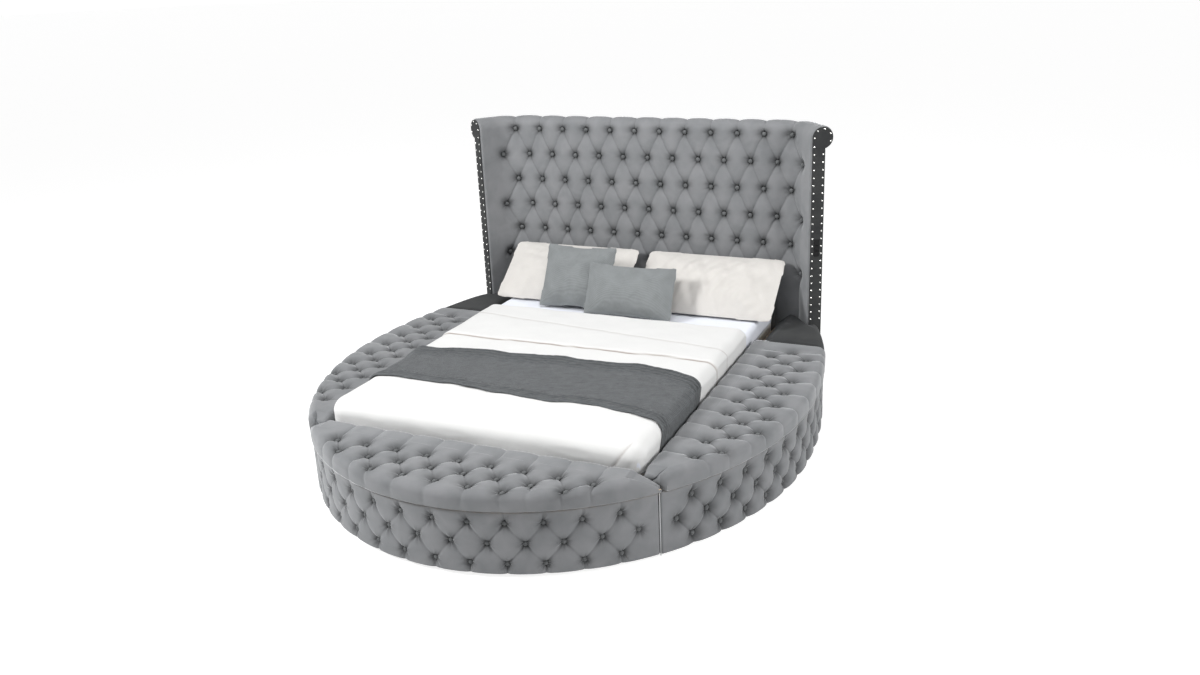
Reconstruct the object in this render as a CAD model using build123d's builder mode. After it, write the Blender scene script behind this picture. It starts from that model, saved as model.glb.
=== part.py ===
"""Round storage bed: three upholstered bench boxes round a sunk queen mattress,
with a tufted headboard whose wings sweep forward, in millimetres, +Z up."""

import math
import os

from build123d import *

os.makedirs("parts", exist_ok=True)

# Mattress and the well that it lies in
mattress_width = 1524
mattress_length = 2032
mattress_thickness = 254
mattress_top = 425
mattress_corner = 60
mattress_edge_round = 22
well_gap = 28
head_gap = 20

# Ring of benches in plan: two half ellipses that meet at the widest line
bench_width = 434
foot_bench_depth = 406
widest_line = 1000
ring_head_reach = 1800

# Bench heights and walls
glide_height = 12
box_floor = 12
seam_height = 300
lid_board = 15
lid_pad = 62
lid_edge_round = 34
plywood = 15
inner_wall = 18
face_pad = 40
face_inset = 8
face_ground_gap = 16
seat_gap = 0.3
joint_gap = 1
lid_end_gap = 17
lid_rear = 580
lid_open = 50
slope_start = 3

# Tufting of the benches
tuft_pitch = 153
side_tuft_pitch = 148
lid_tuft_row = 90
lid_tuft_first = 136
foot_tuft_counts = (9, 8, 5)
foot_tuft_offset = 20
side_tuft_counts = (9, 9, 7)
side_tuft_rear = 114
face_tuft_row = 90
face_top_row = 240
face_tuft_offset = 38
face_tuft_margin = 70
face_seam_tuft = 160
face_tuft_rear = 850
pit_depth = 24
pit_overrun = 16
pit_mouth_share = 0.8
pit_floor_share = 0.28
button_radius = 12.5
button_height = 10
button_sides = 6
stud_crown_share = 0.6

# Headboard
headboard_top = 1455
wing_bend = 160
wing_angle = 55
wing_straight = 120
headboard_pad_depth = 48
headboard_frame_depth = 24
headboard_back_depth = 6
roll_radius = 62
plinth_height = 150
headboard_tuft_row = 152
headboard_first_row = 1382
headboard_rows = 6
headboard_side_tufts = 6
pleat_width = 16
pleat_depth = 9
pleat_drop = 70

# Wing end panels, nails and the power outlet
panel_thickness = 5
panel_margin = 6
nail_radius = 5.5
nail_height = 3
nail_pitch = 41
nail_inset = 10
nail_first = 405
nail_sides = 5
scroll_nail_share = 0.75
outlet_width = 26
outlet_height = 89
outlet_low = 761
outlet_depth = 28
outlet_flange = 2
port_width = 13
port_height = 5.6
port_depth = 9
port_tongue_width = 9
port_tongue_height = 2
port_spacing = 30

# Continuous hinges
knuckle_radius = 4
pin_radius = 1.75
pin_clearance = 0.06
leaf_thickness = 1.2
fixed_leaf_width = 20
moving_leaf_width = 13
leaf_relief = 0.6
knuckle_length = 250
knuckle_gap = 0.4
hinge_end_gap = 40

# Mattress support
slat_thickness = 18
slat_width = 70
slat_count = 13
ledger_width = 30
ledger_height = 40
rail_width = 45
rail_height = 60
leg_width = 45
leg_count = 4
glide_radius = 20
glide_sides = 8
glide_inset = 120
foot_glide_shares = (0.33, 0.75)
head_glide_share = 0.27
bracket_arm = 60
bracket_thickness = 3
bracket_height = 40
bracket_bottom = 60
bracket_hole = 3

# Bedding
sheet_thickness = 1.5
sheet_drop = 90
duvet_side = 5.9
duvet_crown = 34
duvet_drop = 85
duvet_round = 26
duvet_head_edge = 500
duvet_turn_back = 70
duvet_turn_thickness = 9
throw_thickness = 3
throw_drop = 70
throw_front_left = -580
throw_front_right = -730
throw_back_side = -280
throw_back_middle = -90
throw_fold_height = 6
throw_fold_width = 34
throw_folds = 4
pillow_width = 860
pillow_height = 460
pillow_thickness = 150
pillow_y = 865
pillow_tilt = 38
pillow_spread = 436
back_cushion_width = 460
back_cushion_height = 400
back_cushion_thickness = 110
back_cushion_x = -290
back_cushion_y = 700
back_cushion_tilt = 62
front_cushion_width = 550
front_cushion_height = 320
front_cushion_thickness = 105
front_cushion_x = 65
front_cushion_y = 612
front_cushion_tilt = 65
cushion_pinch_share = 0.05

# Values that follow from the ones above
well_half_width = mattress_width / 2 + well_gap
well_foot_y = -widest_line
ring_half_width = well_half_width + bench_width
ring_foot_reach = widest_line + foot_bench_depth
head_front = well_foot_y + well_gap + mattress_length + head_gap
frame_front = headboard_pad_depth + seat_gap
frame_back = frame_front + headboard_frame_depth
headboard_depth = frame_back + headboard_back_depth
roll_z = headboard_top - roll_radius
roll_underside = roll_z - roll_radius
ring_y = (ring_foot_reach - head_front - 2 * roll_radius) / 2
plan_span = 2 * (ring_foot_reach + ring_head_reach)
wall_outer_inset = face_inset + face_pad
wall_inner_inset = wall_outer_inset + plywood
wall_bottom = glide_height + box_floor
wall_height = seam_height - wall_bottom
board_bottom = seam_height + seat_gap
board_top = board_bottom + lid_board
lid_top = board_top + lid_pad
hinge_offset = knuckle_radius + seat_gap
side_lid_front = well_foot_y + lid_end_gap
wing_radians = math.radians(wing_angle)
wing_dir = (math.cos(wing_radians), -math.sin(wing_radians))
wing_out = (math.sin(wing_radians), math.cos(wing_radians))
mattress_bottom = mattress_top - mattress_thickness
mattress_foot = well_foot_y + well_gap
mattress_middle = mattress_foot + mattress_length / 2
well_length = head_front - well_foot_y
well_middle = (head_front + well_foot_y) / 2
slat_bottom = mattress_bottom - slat_thickness
sheet_cover = seat_gap + sheet_thickness
duvet_inside = sheet_cover + seat_gap
duvet_cover = duvet_inside + duvet_side
duvet_top = mattress_top + duvet_inside + duvet_crown
throw_inside = duvet_cover + seat_gap
throw_cover = throw_inside + throw_thickness
sheet_top = mattress_top + sheet_cover


def level(height):
    """Horizontal plane at a height, centred on the ring's widest line."""
    return Plane((0, ring_y, height))


def save(builder, name):
    """Label a finished piece and write its file."""
    builder.part.label = name
    export_step(builder.part, "parts/" + name + ".step")


def save_pair(builder, name):
    """Write a right-hand piece and the left-hand one that mirrors it."""
    save(builder, "right_" + name)
    with BuildPart() as twin:
        mirror(builder.part, about=Plane.YZ)
    save(twin, "left_" + name)


# Plan shapes
def ring_disc(inset):
    """The bed's round plan, drawn in by a wall's thickness."""
    half_width = ring_half_width - inset
    foot_reach = ring_foot_reach - inset
    head_reach = ring_head_reach - inset
    with BuildSketch() as disc:
        with BuildLine():
            EllipticalCenterArc((0, 0), half_width, foot_reach, start_angle=180, arc_size=180)
            EllipticalCenterArc((0, 0), half_width, head_reach, start_angle=0, arc_size=180)
        make_face()
    return disc.sketch


def wing_tip(depth):
    """Plan point at the right wing's end, at a depth behind the front face."""
    bend = wing_bend + depth
    x = well_half_width + bend * wing_out[0] + wing_straight * wing_dir[0]
    y = head_front - wing_bend + bend * wing_out[1] + wing_straight * wing_dir[1]
    return (x, y)


def headboard_line(depth):
    """Right half of the headboard's plan line, at a depth behind the front face."""
    bend = wing_bend + depth
    middle = head_front + depth
    Line((0, middle), (well_half_width, middle))
    curve = CenterArc((well_half_width, head_front - wing_bend), bend, 90, -wing_angle)
    Line(curve @ 1, wing_tip(depth))


def headboard_band(front, back):
    """Plan of one layer of the headboard, between two depths."""
    with BuildSketch() as band:
        with BuildLine():
            headboard_line(front)
            headboard_line(back)
            Line(wing_tip(front), wing_tip(back))
            mirror(about=Plane.YZ)
        make_face()
    return band.sketch


def before_headboard(gap):
    """Plan area in front of the right half of the headboard and its end panel."""
    end = panel_thickness + gap
    tip = wing_tip(-gap)
    corner = (tip[0] + end * wing_dir[0], tip[1] + end * wing_dir[1])
    outer = (corner[0] + bench_width * wing_out[0], corner[1] + bench_width * wing_out[1])
    with BuildSketch() as area:
        with BuildLine():
            headboard_line(-gap)
            Polyline(
                tip,
                corner,
                outer,
                (plan_span, outer[1]),
                (plan_span, -plan_span),
                (0, -plan_span),
                (0, head_front - gap),
            )
        make_face()
    return area.sketch


def foot_plan(inset, back=0):
    """Plan of the foot segment."""
    with BuildSketch() as plan:
        add(ring_disc(inset))
        with Locations((0, well_foot_y - back)):
            Rectangle(
                plan_span, plan_span, align=(Align.CENTER, Align.MAX), mode=Mode.INTERSECT
            )
    return plan.sketch


def side_plan(inset, inner=0, y_low=well_foot_y + joint_gap / 2, y_high=plan_span):
    """Plan of the right-hand segment, cut to the headboard behind it."""
    with BuildSketch() as plan:
        add(ring_disc(inset))
        with Locations((well_half_width + inner, y_low)):
            Rectangle(
                plan_span, y_high - y_low, align=(Align.MIN, Align.MIN), mode=Mode.INTERSECT
            )
        add(before_headboard(joint_gap), mode=Mode.INTERSECT)
    return plan.sketch


# Tufting tools
with BuildPart() as button:
    with BuildSketch(Plane.XY.offset(-pit_depth)):
        RegularPolygon(button_radius, button_sides)
    with BuildSketch(Plane.XY.offset(button_height - pit_depth)):
        RegularPolygon(button_radius * stud_crown_share, button_sides)
    loft(ruled=True)

with BuildPart() as nail:
    with BuildSketch():
        RegularPolygon(nail_radius, nail_sides)
    with BuildSketch(Plane.XY.offset(nail_height)):
        RegularPolygon(nail_radius * stud_crown_share, nail_sides)
    loft(ruled=True)


def pit(half_along, half_up):
    """A four-sided tuft pit with a flat floor for its button, its mouth at z = 0."""
    overrun_share = (1 - pit_floor_share) * pit_overrun / pit_depth
    with BuildPart() as tool:
        for height, share in ((pit_overrun, 1 + overrun_share), (-pit_depth, pit_floor_share)):
            a = half_along * pit_mouth_share * share
            b = half_up * pit_mouth_share * share
            with BuildSketch(Plane.XY.offset(height)):
                Polygon((a, 0), (0, b), (-a, 0), (0, -b))
        loft(ruled=True)
    return tool.part


def places(planes):
    """Locations for a repeated piece, one on each plane."""
    return Locations(*[Location(plane) for plane in planes])


# Tuft positions round the box faces
face_half_width = ring_half_width - face_inset
face_foot_reach = ring_foot_reach - face_inset
face_head_reach = ring_head_reach - face_inset
seam_angle = 90 - math.degrees(math.asin(widest_line / face_foot_reach))
rear_angle = math.degrees(math.asin(face_tuft_rear / face_head_reach))
foot_arc = EllipticalCenterArc(
    (0, 0), face_half_width, face_foot_reach, start_angle=270, arc_size=90
)
seam_arc = EllipticalCenterArc(
    (0, 0), face_half_width, face_foot_reach, start_angle=270, arc_size=seam_angle
)
head_arc = EllipticalCenterArc(
    (0, 0), face_half_width, face_head_reach, start_angle=0, arc_size=90
)
rear_arc = EllipticalCenterArc(
    (0, 0), face_half_width, face_head_reach, start_angle=0, arc_size=rear_angle
)


def face_plane(along, height):
    """Plane on the box face, a distance round it from the middle of the foot."""
    distance = abs(along)
    if distance < foot_arc.length:
        edge = foot_arc
        share = distance / foot_arc.length
    else:
        edge = head_arc
        share = (distance - foot_arc.length) / head_arc.length
    side = math.copysign(1, along)
    point = edge @ share
    tangent = edge % share
    origin = (side * point.X, point.Y + ring_y, height)
    across = (tangent.X, side * tangent.Y, 0)
    outward = (side * tangent.Y, -tangent.X, 0)
    return Plane(origin, x_dir=across, z_dir=outward)


def face_planes(first, last, start):
    """Three staggered rows of tufts between two distances round the face."""
    planes = []
    for row in range(3):
        shift = start + (row % 2) * tuft_pitch / 2
        low = math.ceil((first - shift) / tuft_pitch)
        high = math.floor((last - shift) / tuft_pitch)
        for step in range(low, high + 1):
            height = face_top_row - row * face_tuft_row
            planes.append(face_plane(shift + step * tuft_pitch, height))
    return planes


foot_reach_along = seam_arc.length - face_tuft_margin
side_first_along = seam_arc.length + face_tuft_margin
side_last_along = foot_arc.length + rear_arc.length
foot_face_planes = face_planes(-foot_reach_along, foot_reach_along, face_tuft_offset)
side_face_planes = face_planes(
    side_first_along, side_last_along, seam_arc.length + face_seam_tuft
)
face_pit = pit(tuft_pitch / 2, face_tuft_row)

# Foot box
with BuildPart() as foot_box_floor:
    with BuildSketch(level(glide_height)):
        add(foot_plan(wall_outer_inset))
    extrude(amount=box_floor)
save(foot_box_floor, "foot_box_floor")

with BuildPart() as foot_box_inner_wall:
    with BuildSketch(level(wall_bottom)):
        add(foot_plan(wall_inner_inset))
        add(foot_plan(0, inner_wall), mode=Mode.SUBTRACT)
    extrude(amount=wall_height)
save(foot_box_inner_wall, "foot_box_inner_wall")

with BuildPart() as foot_box_outer_wall:
    with BuildSketch(level(wall_bottom)):
        add(foot_plan(wall_outer_inset))
        add(ring_disc(wall_inner_inset), mode=Mode.SUBTRACT)
    extrude(amount=wall_height)
save(foot_box_outer_wall, "foot_box_outer_wall")

with BuildPart() as foot_box_face_pad:
    with BuildSketch(level(face_ground_gap)):
        add(foot_plan(face_inset))
        add(ring_disc(wall_outer_inset - seat_gap), mode=Mode.SUBTRACT)
    extrude(amount=seam_height - joint_gap - face_ground_gap)
    with places(foot_face_planes):
        add(face_pit, mode=Mode.SUBTRACT)
save(foot_box_face_pad, "foot_box_face_pad")

with BuildPart() as foot_box_buttons:
    with places(foot_face_planes):
        add(button.part)
save(foot_box_buttons, "foot_box_buttons")

# Side boxes
with BuildPart() as side_box_floor:
    with BuildSketch(level(glide_height)):
        add(side_plan(wall_outer_inset))
    extrude(amount=box_floor)
save_pair(side_box_floor, "box_floor")

with BuildPart() as side_box_inner_wall:
    with BuildSketch(level(wall_bottom)):
        add(side_plan(wall_inner_inset))
        add(side_plan(0, inner_wall), mode=Mode.SUBTRACT)
    extrude(amount=wall_height)
save_pair(side_box_inner_wall, "box_inner_wall")

with BuildPart() as side_box_outer_wall:
    with BuildSketch(level(wall_bottom)):
        add(side_plan(wall_outer_inset))
        add(ring_disc(wall_inner_inset), mode=Mode.SUBTRACT)
    extrude(amount=wall_height)
save_pair(side_box_outer_wall, "box_outer_wall")

# One cross wall stands under the lid's rear edge, the other along the headboard
divider_front = lid_rear - inner_wall / 2
divider_back = divider_front + inner_wall
with BuildSketch() as rear_wall_plan:
    add(side_plan(wall_inner_inset, inner_wall, divider_back))
    add(before_headboard(joint_gap + inner_wall), mode=Mode.SUBTRACT)
with BuildPart() as side_box_cross_walls:
    with BuildSketch(level(wall_bottom)):
        add(side_plan(wall_inner_inset, inner_wall, divider_front, divider_back))
        add(rear_wall_plan.sketch)
    extrude(amount=wall_height)
save_pair(side_box_cross_walls, "box_cross_walls")

with BuildPart() as side_box_face_pad:
    with BuildSketch(level(face_ground_gap)):
        add(side_plan(face_inset))
        add(ring_disc(wall_outer_inset - seat_gap), mode=Mode.SUBTRACT)
    extrude(amount=seam_height - joint_gap - face_ground_gap)
    with places(side_face_planes):
        add(face_pit, mode=Mode.SUBTRACT)
save_pair(side_box_face_pad, "box_face_pad")

with BuildPart() as side_box_buttons:
    with places(side_face_planes):
        add(button.part)
save_pair(side_box_buttons, "box_buttons")

# Lids and corner tops
pad_slope = math.tan(math.radians(90 - lid_open))
slope_low = board_top + slope_start
slope_high = lid_top + lid_pad
slope_run = (slope_high - slope_low) / pad_slope
foot_section = Plane((0, ring_y + well_foot_y, 0), x_dir=(0, -1, 0), z_dir=(-1, 0, 0))
side_section = Plane((well_half_width, 0, 0), x_dir=(1, 0, 0), z_dir=(0, -1, 0))

def bench_pad(plan, section):
    """Padding over one plan, its inner edge drawn in so that the lid clears the bed."""
    with BuildPart() as pad:
        with BuildSketch(level(board_top)):
            add(plan)
        extrude(amount=lid_pad)
        rim = pad.faces().sort_by(Axis.Z)[-1].edges().filter_by(GeomType.ELLIPSE)
        fillet(rim, radius=lid_edge_round)
        with BuildSketch(section):
            Polygon(
                (0, slope_low),
                (slope_run, slope_high),
                (-lid_pad, slope_high),
                (-lid_pad, slope_low),
                align=None,
            )
        extrude(amount=plan_span, both=True, mode=Mode.SUBTRACT)
    return pad.part


foot_lid_planes = []
for row, count in enumerate(foot_tuft_counts):
    y = ring_y + well_foot_y - lid_tuft_first - row * lid_tuft_row
    for step in range(count):
        x = foot_tuft_offset + (step - (count - 1) / 2) * tuft_pitch
        foot_lid_planes.append(Plane((x, y, lid_top)))

side_lid_planes = []
for column, count in enumerate(side_tuft_counts):
    x = well_half_width + lid_tuft_first + column * lid_tuft_row
    stagger = (column + 1) % 2 / 2
    for step in range(count):
        y = ring_y + lid_rear - side_tuft_rear - (step + stagger) * side_tuft_pitch
        side_lid_planes.append(Plane((x, y, lid_top)))

with BuildPart() as foot_lid_board:
    with BuildSketch(level(board_bottom)):
        add(foot_plan(0))
    extrude(amount=lid_board)
save(foot_lid_board, "foot_lid_board")

foot_lid_pit = pit(tuft_pitch / 2, lid_tuft_row)
with BuildPart() as foot_lid_pad:
    add(bench_pad(foot_plan(0), foot_section))
    with places(foot_lid_planes):
        add(foot_lid_pit, mode=Mode.SUBTRACT)
save(foot_lid_pad, "foot_lid_pad")

with BuildPart() as foot_lid_buttons:
    with places(foot_lid_planes):
        add(button.part)
save(foot_lid_buttons, "foot_lid_buttons")

side_lid_plan = side_plan(0, 0, side_lid_front, lid_rear)
with BuildPart() as side_lid_board:
    with BuildSketch(level(board_bottom)):
        add(side_lid_plan)
    extrude(amount=lid_board)
save_pair(side_lid_board, "lid_board")

side_lid_pit = pit(lid_tuft_row, side_tuft_pitch / 2)
with BuildPart() as side_lid_pad:
    add(bench_pad(side_lid_plan, side_section))
    with places(side_lid_planes):
        add(side_lid_pit, mode=Mode.SUBTRACT)
save_pair(side_lid_pad, "lid_pad")

with BuildPart() as side_lid_buttons:
    with places(side_lid_planes):
        add(button.part)
save_pair(side_lid_buttons, "lid_buttons")

# Fixed corner tops between the side lids and the headboard
corner_plan = side_plan(0, 0, lid_rear + joint_gap)
with BuildPart() as corner_boards:
    with BuildSketch(level(seam_height)):
        add(corner_plan)
    extrude(amount=board_top - seam_height)
    mirror(about=Plane.YZ)
save(corner_boards, "corner_boards")

with BuildPart() as corner_pad:
    add(bench_pad(corner_plan, side_section))
save_pair(corner_pad, "corner_pad")


# Continuous hinges, drawn with the pin along local X and the box at positive Y
def hinge_leaf(length, moving):
    """One leaf with its share of the knuckles; the lid's leaf stands above the pin."""
    side = 1 if moving else -1
    width = moving_leaf_width if moving else fixed_leaf_width
    relief = knuckle_radius + leaf_relief
    count = round(length / knuckle_length)
    pitch = length / count
    plate = width - relief
    tab = relief - seat_gap
    with BuildPart() as leaf:
        with BuildSketch(Plane.XZ.offset(-hinge_offset)):
            with Locations((0, side * (relief + plate / 2))):
                Rectangle(length, plate)
            for step in range(int(moving), count, 2):
                x = (step + 1 / 2) * pitch - length / 2
                with Locations((x, side * (seat_gap + tab / 2))):
                    Rectangle(pitch - knuckle_gap, tab)
        extrude(amount=leaf_thickness)
        for step in range(int(moving), count, 2):
            with BuildSketch(Plane.YZ.offset(step * pitch + (knuckle_gap - length) / 2)):
                Circle(knuckle_radius)
                Circle(pin_radius + pin_clearance, mode=Mode.SUBTRACT)
            extrude(amount=pitch - knuckle_gap)
    return leaf.part


foot_hinge_length = 2 * (well_half_width - hinge_end_gap)
side_hinge_length = lid_rear - side_lid_front - 2 * hinge_end_gap
side_hinge_y = ring_y + (lid_rear + side_lid_front) / 2
foot_hinge = Plane(
    (0, ring_y + well_foot_y + hinge_offset, seam_height), x_dir=(-1, 0, 0), z_dir=(0, 0, 1)
)
right_hinge = Plane(
    (well_half_width - hinge_offset, side_hinge_y, seam_height), x_dir=(0, -1, 0), z_dir=(0, 0, 1)
)
left_hinge = Plane(
    (hinge_offset - well_half_width, side_hinge_y, seam_height), x_dir=(0, 1, 0), z_dir=(0, 0, 1)
)
for leaf_name, moving in (("fixed_leaf", False), ("moving_leaf", True)):
    with BuildPart() as foot_leaf:
        with places([foot_hinge]):
            add(hinge_leaf(foot_hinge_length, moving))
    save(foot_leaf, "foot_hinge_" + leaf_name)
    with BuildPart() as side_leaf:
        with places([right_hinge]):
            add(hinge_leaf(side_hinge_length, moving))
    save_pair(side_leaf, "hinge_" + leaf_name)

with BuildPart() as hinge_pins:
    for hinge, length in (
        (foot_hinge, foot_hinge_length),
        (right_hinge, side_hinge_length),
        (left_hinge, side_hinge_length),
    ):
        with BuildSketch(Plane(hinge.origin, z_dir=hinge.x_dir)):
            Circle(pin_radius)
        extrude(amount=length / 2, both=True)
save(hinge_pins, "hinge_pins")

# Headboard
panel_plane = Plane(
    (wing_tip(0)[0], wing_tip(0)[1] + ring_y, 0), x_dir=(*wing_out, 0), z_dir=(*wing_dir, 0)
)
panel_face = panel_plane.offset(panel_thickness)
panel_back = headboard_depth - panel_margin / 2
nail_front = panel_margin + nail_inset
nail_back = panel_back - nail_inset
outlet_x = (nail_front + nail_back) / 2
outlet_z = outlet_low + outlet_height / 2
with BuildPart() as outlet_pocket:
    with BuildSketch(panel_face):
        with Locations((outlet_x, outlet_z)):
            Rectangle(outlet_width, outlet_height)
    extrude(amount=-outlet_depth)


def headboard_plane(along, height):
    """Plane on the headboard's front face, a distance along it from the middle."""
    side = math.copysign(1, along)
    distance = abs(along)
    angle = max(0, distance - well_half_width) / wing_bend
    x = min(distance, well_half_width) + wing_bend * math.sin(angle)
    y = head_front - wing_bend + wing_bend * math.cos(angle)
    across = (math.cos(angle), -side * math.sin(angle), 0)
    outward = (-side * math.sin(angle), -math.cos(angle), 0)
    return Plane((side * x, y + ring_y, height), x_dir=across, z_dir=outward)


headboard_planes = []
pleat_planes = []
for row in range(headboard_rows):
    count = 2 * headboard_side_tufts + row % 2
    height = headboard_first_row - row * headboard_tuft_row
    for step in range(count):
        along = (step - (count - 1) / 2) * tuft_pitch
        headboard_planes.append(headboard_plane(along, height))
        if row == headboard_rows - 1:
            pleat_planes.append(headboard_plane(along, height - pleat_drop))

pleat_length = headboard_first_row - (headboard_rows - 1) * headboard_tuft_row - pleat_drop
headboard_pit = pit(tuft_pitch / 2, headboard_tuft_row)
with BuildPart() as pleat:
    with BuildSketch(Plane.XZ):
        Polygon(
            (-pleat_width, pleat_depth),
            (pleat_width, pleat_depth),
            (0, -pleat_depth),
            align=None,
        )
    extrude(amount=pleat_length)

with BuildPart() as headboard_pad:
    with BuildSketch(level(plinth_height + seat_gap)):
        add(headboard_band(0, headboard_pad_depth))
    extrude(amount=roll_z - plinth_height - seat_gap)
    with BuildLine(level(roll_z)) as roll_line:
        headboard_line(roll_radius)
        mirror(about=Plane.YZ)
    with BuildSketch(Plane(roll_line.wire() @ 0, z_dir=roll_line.wire() % 0)):
        Circle(roll_radius)
    sweep(path=roll_line.wire())
    with places(headboard_planes):
        add(headboard_pit, mode=Mode.SUBTRACT)
    with places(pleat_planes):
        add(pleat.part, mode=Mode.SUBTRACT)
    add(outlet_pocket.part, mode=Mode.SUBTRACT)
save(headboard_pad, "headboard_pad")

with BuildPart() as headboard_buttons:
    with places(headboard_planes):
        add(button.part)
save(headboard_buttons, "headboard_buttons")

with BuildPart() as headboard_frame:
    with BuildSketch(level(glide_height)):
        add(headboard_band(frame_front, frame_back))
    extrude(amount=roll_underside - seat_gap - glide_height)
    with BuildSketch(level(glide_height)):
        add(headboard_band(0, frame_front))
    extrude(amount=plinth_height - glide_height)
    add(outlet_pocket.part, mode=Mode.SUBTRACT)
save(headboard_frame, "headboard_frame")

with BuildPart() as headboard_back_cover:
    with BuildSketch(level(glide_height)):
        add(headboard_band(frame_back, headboard_depth))
    extrude(amount=roll_underside - seat_gap - glide_height)
save(headboard_back_cover, "headboard_back_cover")

# Wing end panels with their scroll ends
with BuildPart() as wing_panel:
    with BuildSketch(panel_plane):
        with Locations(((panel_margin + panel_back) / 2, (glide_height + roll_z) / 2)):
            Rectangle(panel_back - panel_margin, roll_z - glide_height)
        with Locations((roll_radius, roll_z)):
            Circle(roll_radius - panel_margin)
    extrude(amount=panel_thickness)
with BuildPart() as right_wing_panel:
    add(wing_panel.part)
    add(outlet_pocket.part, mode=Mode.SUBTRACT)
save(right_wing_panel, "right_wing_panel")
with BuildPart() as left_wing_panel:
    mirror(wing_panel.part, about=Plane.YZ)
save(left_wing_panel, "left_wing_panel")

nail_ring = roll_radius - panel_margin - nail_inset
nail_points = []
for step in range(math.floor((roll_z - nail_first) / nail_pitch)):
    nail_points.append((nail_front, nail_first + step * nail_pitch))
for step in range(math.floor((roll_z - nail_ring - nail_first) / nail_pitch) + 1):
    nail_points.append((nail_back, nail_first + step * nail_pitch))
ring_step = nail_pitch / nail_ring
for step in range(math.floor(2 * math.pi * scroll_nail_share / ring_step)):
    angle = math.pi - step * ring_step
    nail_x = roll_radius + nail_ring * math.cos(angle)
    nail_points.append((nail_x, roll_z + nail_ring * math.sin(angle)))
nail_planes = []
for x, z in nail_points:
    origin = panel_face.from_local_coords((x, z, 0))
    nail_planes.append(Plane(origin, x_dir=panel_face.x_dir, z_dir=panel_face.z_dir))
with BuildPart() as wing_nails:
    with places(nail_planes):
        add(nail.part)
save_pair(wing_nails, "wing_nails")

with BuildPart() as power_outlet:
    add(outlet_pocket.part)
    with BuildSketch(panel_face):
        with Locations((outlet_x, outlet_z)):
            Rectangle(outlet_width + 2 * outlet_flange, outlet_height + 2 * outlet_flange)
    extrude(amount=nail_height)
    with BuildSketch(panel_face.offset(nail_height)):
        with Locations((outlet_x, outlet_z)):
            with GridLocations(0, port_spacing, 1, 2):
                Rectangle(port_width, port_height)
                Rectangle(port_tongue_width, port_tongue_height, mode=Mode.SUBTRACT)
    extrude(amount=-port_depth, mode=Mode.SUBTRACT)
save(power_outlet, "power_outlet")

# Mattress support
ledger_x = well_half_width - ledger_width / 2
with BuildPart() as mattress_ledgers:
    with BuildSketch(level(slat_bottom - ledger_height)):
        with Locations((-ledger_x, well_middle), (ledger_x, well_middle)):
            Rectangle(ledger_width, well_length)
    extrude(amount=ledger_height)
save(mattress_ledgers, "mattress_ledgers")

with BuildPart() as centre_rail:
    with BuildSketch(level(slat_bottom - rail_height)):
        with Locations((0, well_middle)):
            Rectangle(rail_width, well_length)
    extrude(amount=rail_height)
save(centre_rail, "centre_rail")

slat_pitch = (mattress_length - slat_width) / (slat_count - 1)
with BuildPart() as slats:
    with BuildSketch(level(slat_bottom)):
        with Locations((0, mattress_middle)):
            with GridLocations(0, slat_pitch, 1, slat_count):
                Rectangle(2 * (well_half_width - joint_gap), slat_width)
    extrude(amount=slat_thickness)
save(slats, "slats")

leg_pitch = mattress_length / leg_count
with BuildPart() as centre_legs:
    with BuildSketch(Plane.XY):
        with Locations((0, ring_y + mattress_middle)):
            with GridLocations(0, leg_pitch, 1, leg_count):
                Rectangle(leg_width, leg_width)
    extrude(amount=slat_bottom - rail_height)
save(centre_legs, "centre_legs")

glide_width = ring_half_width - glide_inset
foot_glides = EllipticalCenterArc(
    (0, 0), glide_width, ring_foot_reach - glide_inset, start_angle=270, arc_size=90
)
head_glides = EllipticalCenterArc(
    (0, 0), glide_width, ring_head_reach - glide_inset, start_angle=0, arc_size=90
)
glide_x = well_half_width + glide_radius + inner_wall
glide_points = [foot_glides @ share for share in foot_glide_shares]
glide_points += [head_glides @ 0, head_glides @ head_glide_share]
glide_points += [Vector(glide_x, well_foot_y / 2), Vector(glide_x, lid_rear)]
glide_points += [Vector(well_half_width / 2, head_front + headboard_depth / 2)]
with BuildPart() as glides:
    with BuildSketch(Plane((0, ring_y, 0))):
        with Locations(*glide_points):
            RegularPolygon(glide_radius, glide_sides)
        mirror(about=Plane.YZ)
        with Locations(foot_glides @ 0):
            RegularPolygon(glide_radius, glide_sides)
    extrude(amount=glide_height)
save(glides, "glides")

# Steel angle brackets in the four corners of the well
bracket_middle = bracket_bottom + bracket_height / 2
hole_planes = (
    Plane((well_half_width - bracket_arm / 2, ring_y + head_front, bracket_middle), z_dir=(0, 1, 0)),
    Plane((well_half_width, ring_y + head_front - bracket_arm / 2, bracket_middle), z_dir=(1, 0, 0)),
)
with BuildPart() as corner_brackets:
    with BuildSketch(level(bracket_bottom)):
        with Locations((well_half_width, head_front)):
            Rectangle(bracket_arm, bracket_arm, align=(Align.MAX, Align.MAX))
        with Locations((well_half_width - bracket_thickness, head_front - bracket_thickness)):
            Rectangle(
                bracket_arm, bracket_arm, align=(Align.MAX, Align.MAX), mode=Mode.SUBTRACT
            )
    extrude(amount=bracket_height)
    for hole_plane in hole_planes:
        with BuildSketch(hole_plane):
            Circle(bracket_hole)
        extrude(amount=bracket_thickness, both=True, mode=Mode.SUBTRACT)
    mirror(about=Plane.YZ)
    mirror(about=Plane((0, ring_y + well_middle, 0), z_dir=(0, 1, 0)))
save(corner_brackets, "corner_brackets")


# Bedding
def bed_block(cover, low, high, edge_round):
    """A block over the mattress plan, its top edges rounded."""
    width = mattress_width + 2 * cover
    length = mattress_length + 2 * cover
    with BuildPart() as block:
        with BuildSketch(Plane((0, ring_y + mattress_middle, low))):
            RectangleRounded(width, length, mattress_corner + cover)
        extrude(amount=high - low)
        fillet(block.faces().sort_by(Axis.Z)[-1].edges(), radius=edge_round)
    return block.part


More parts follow.
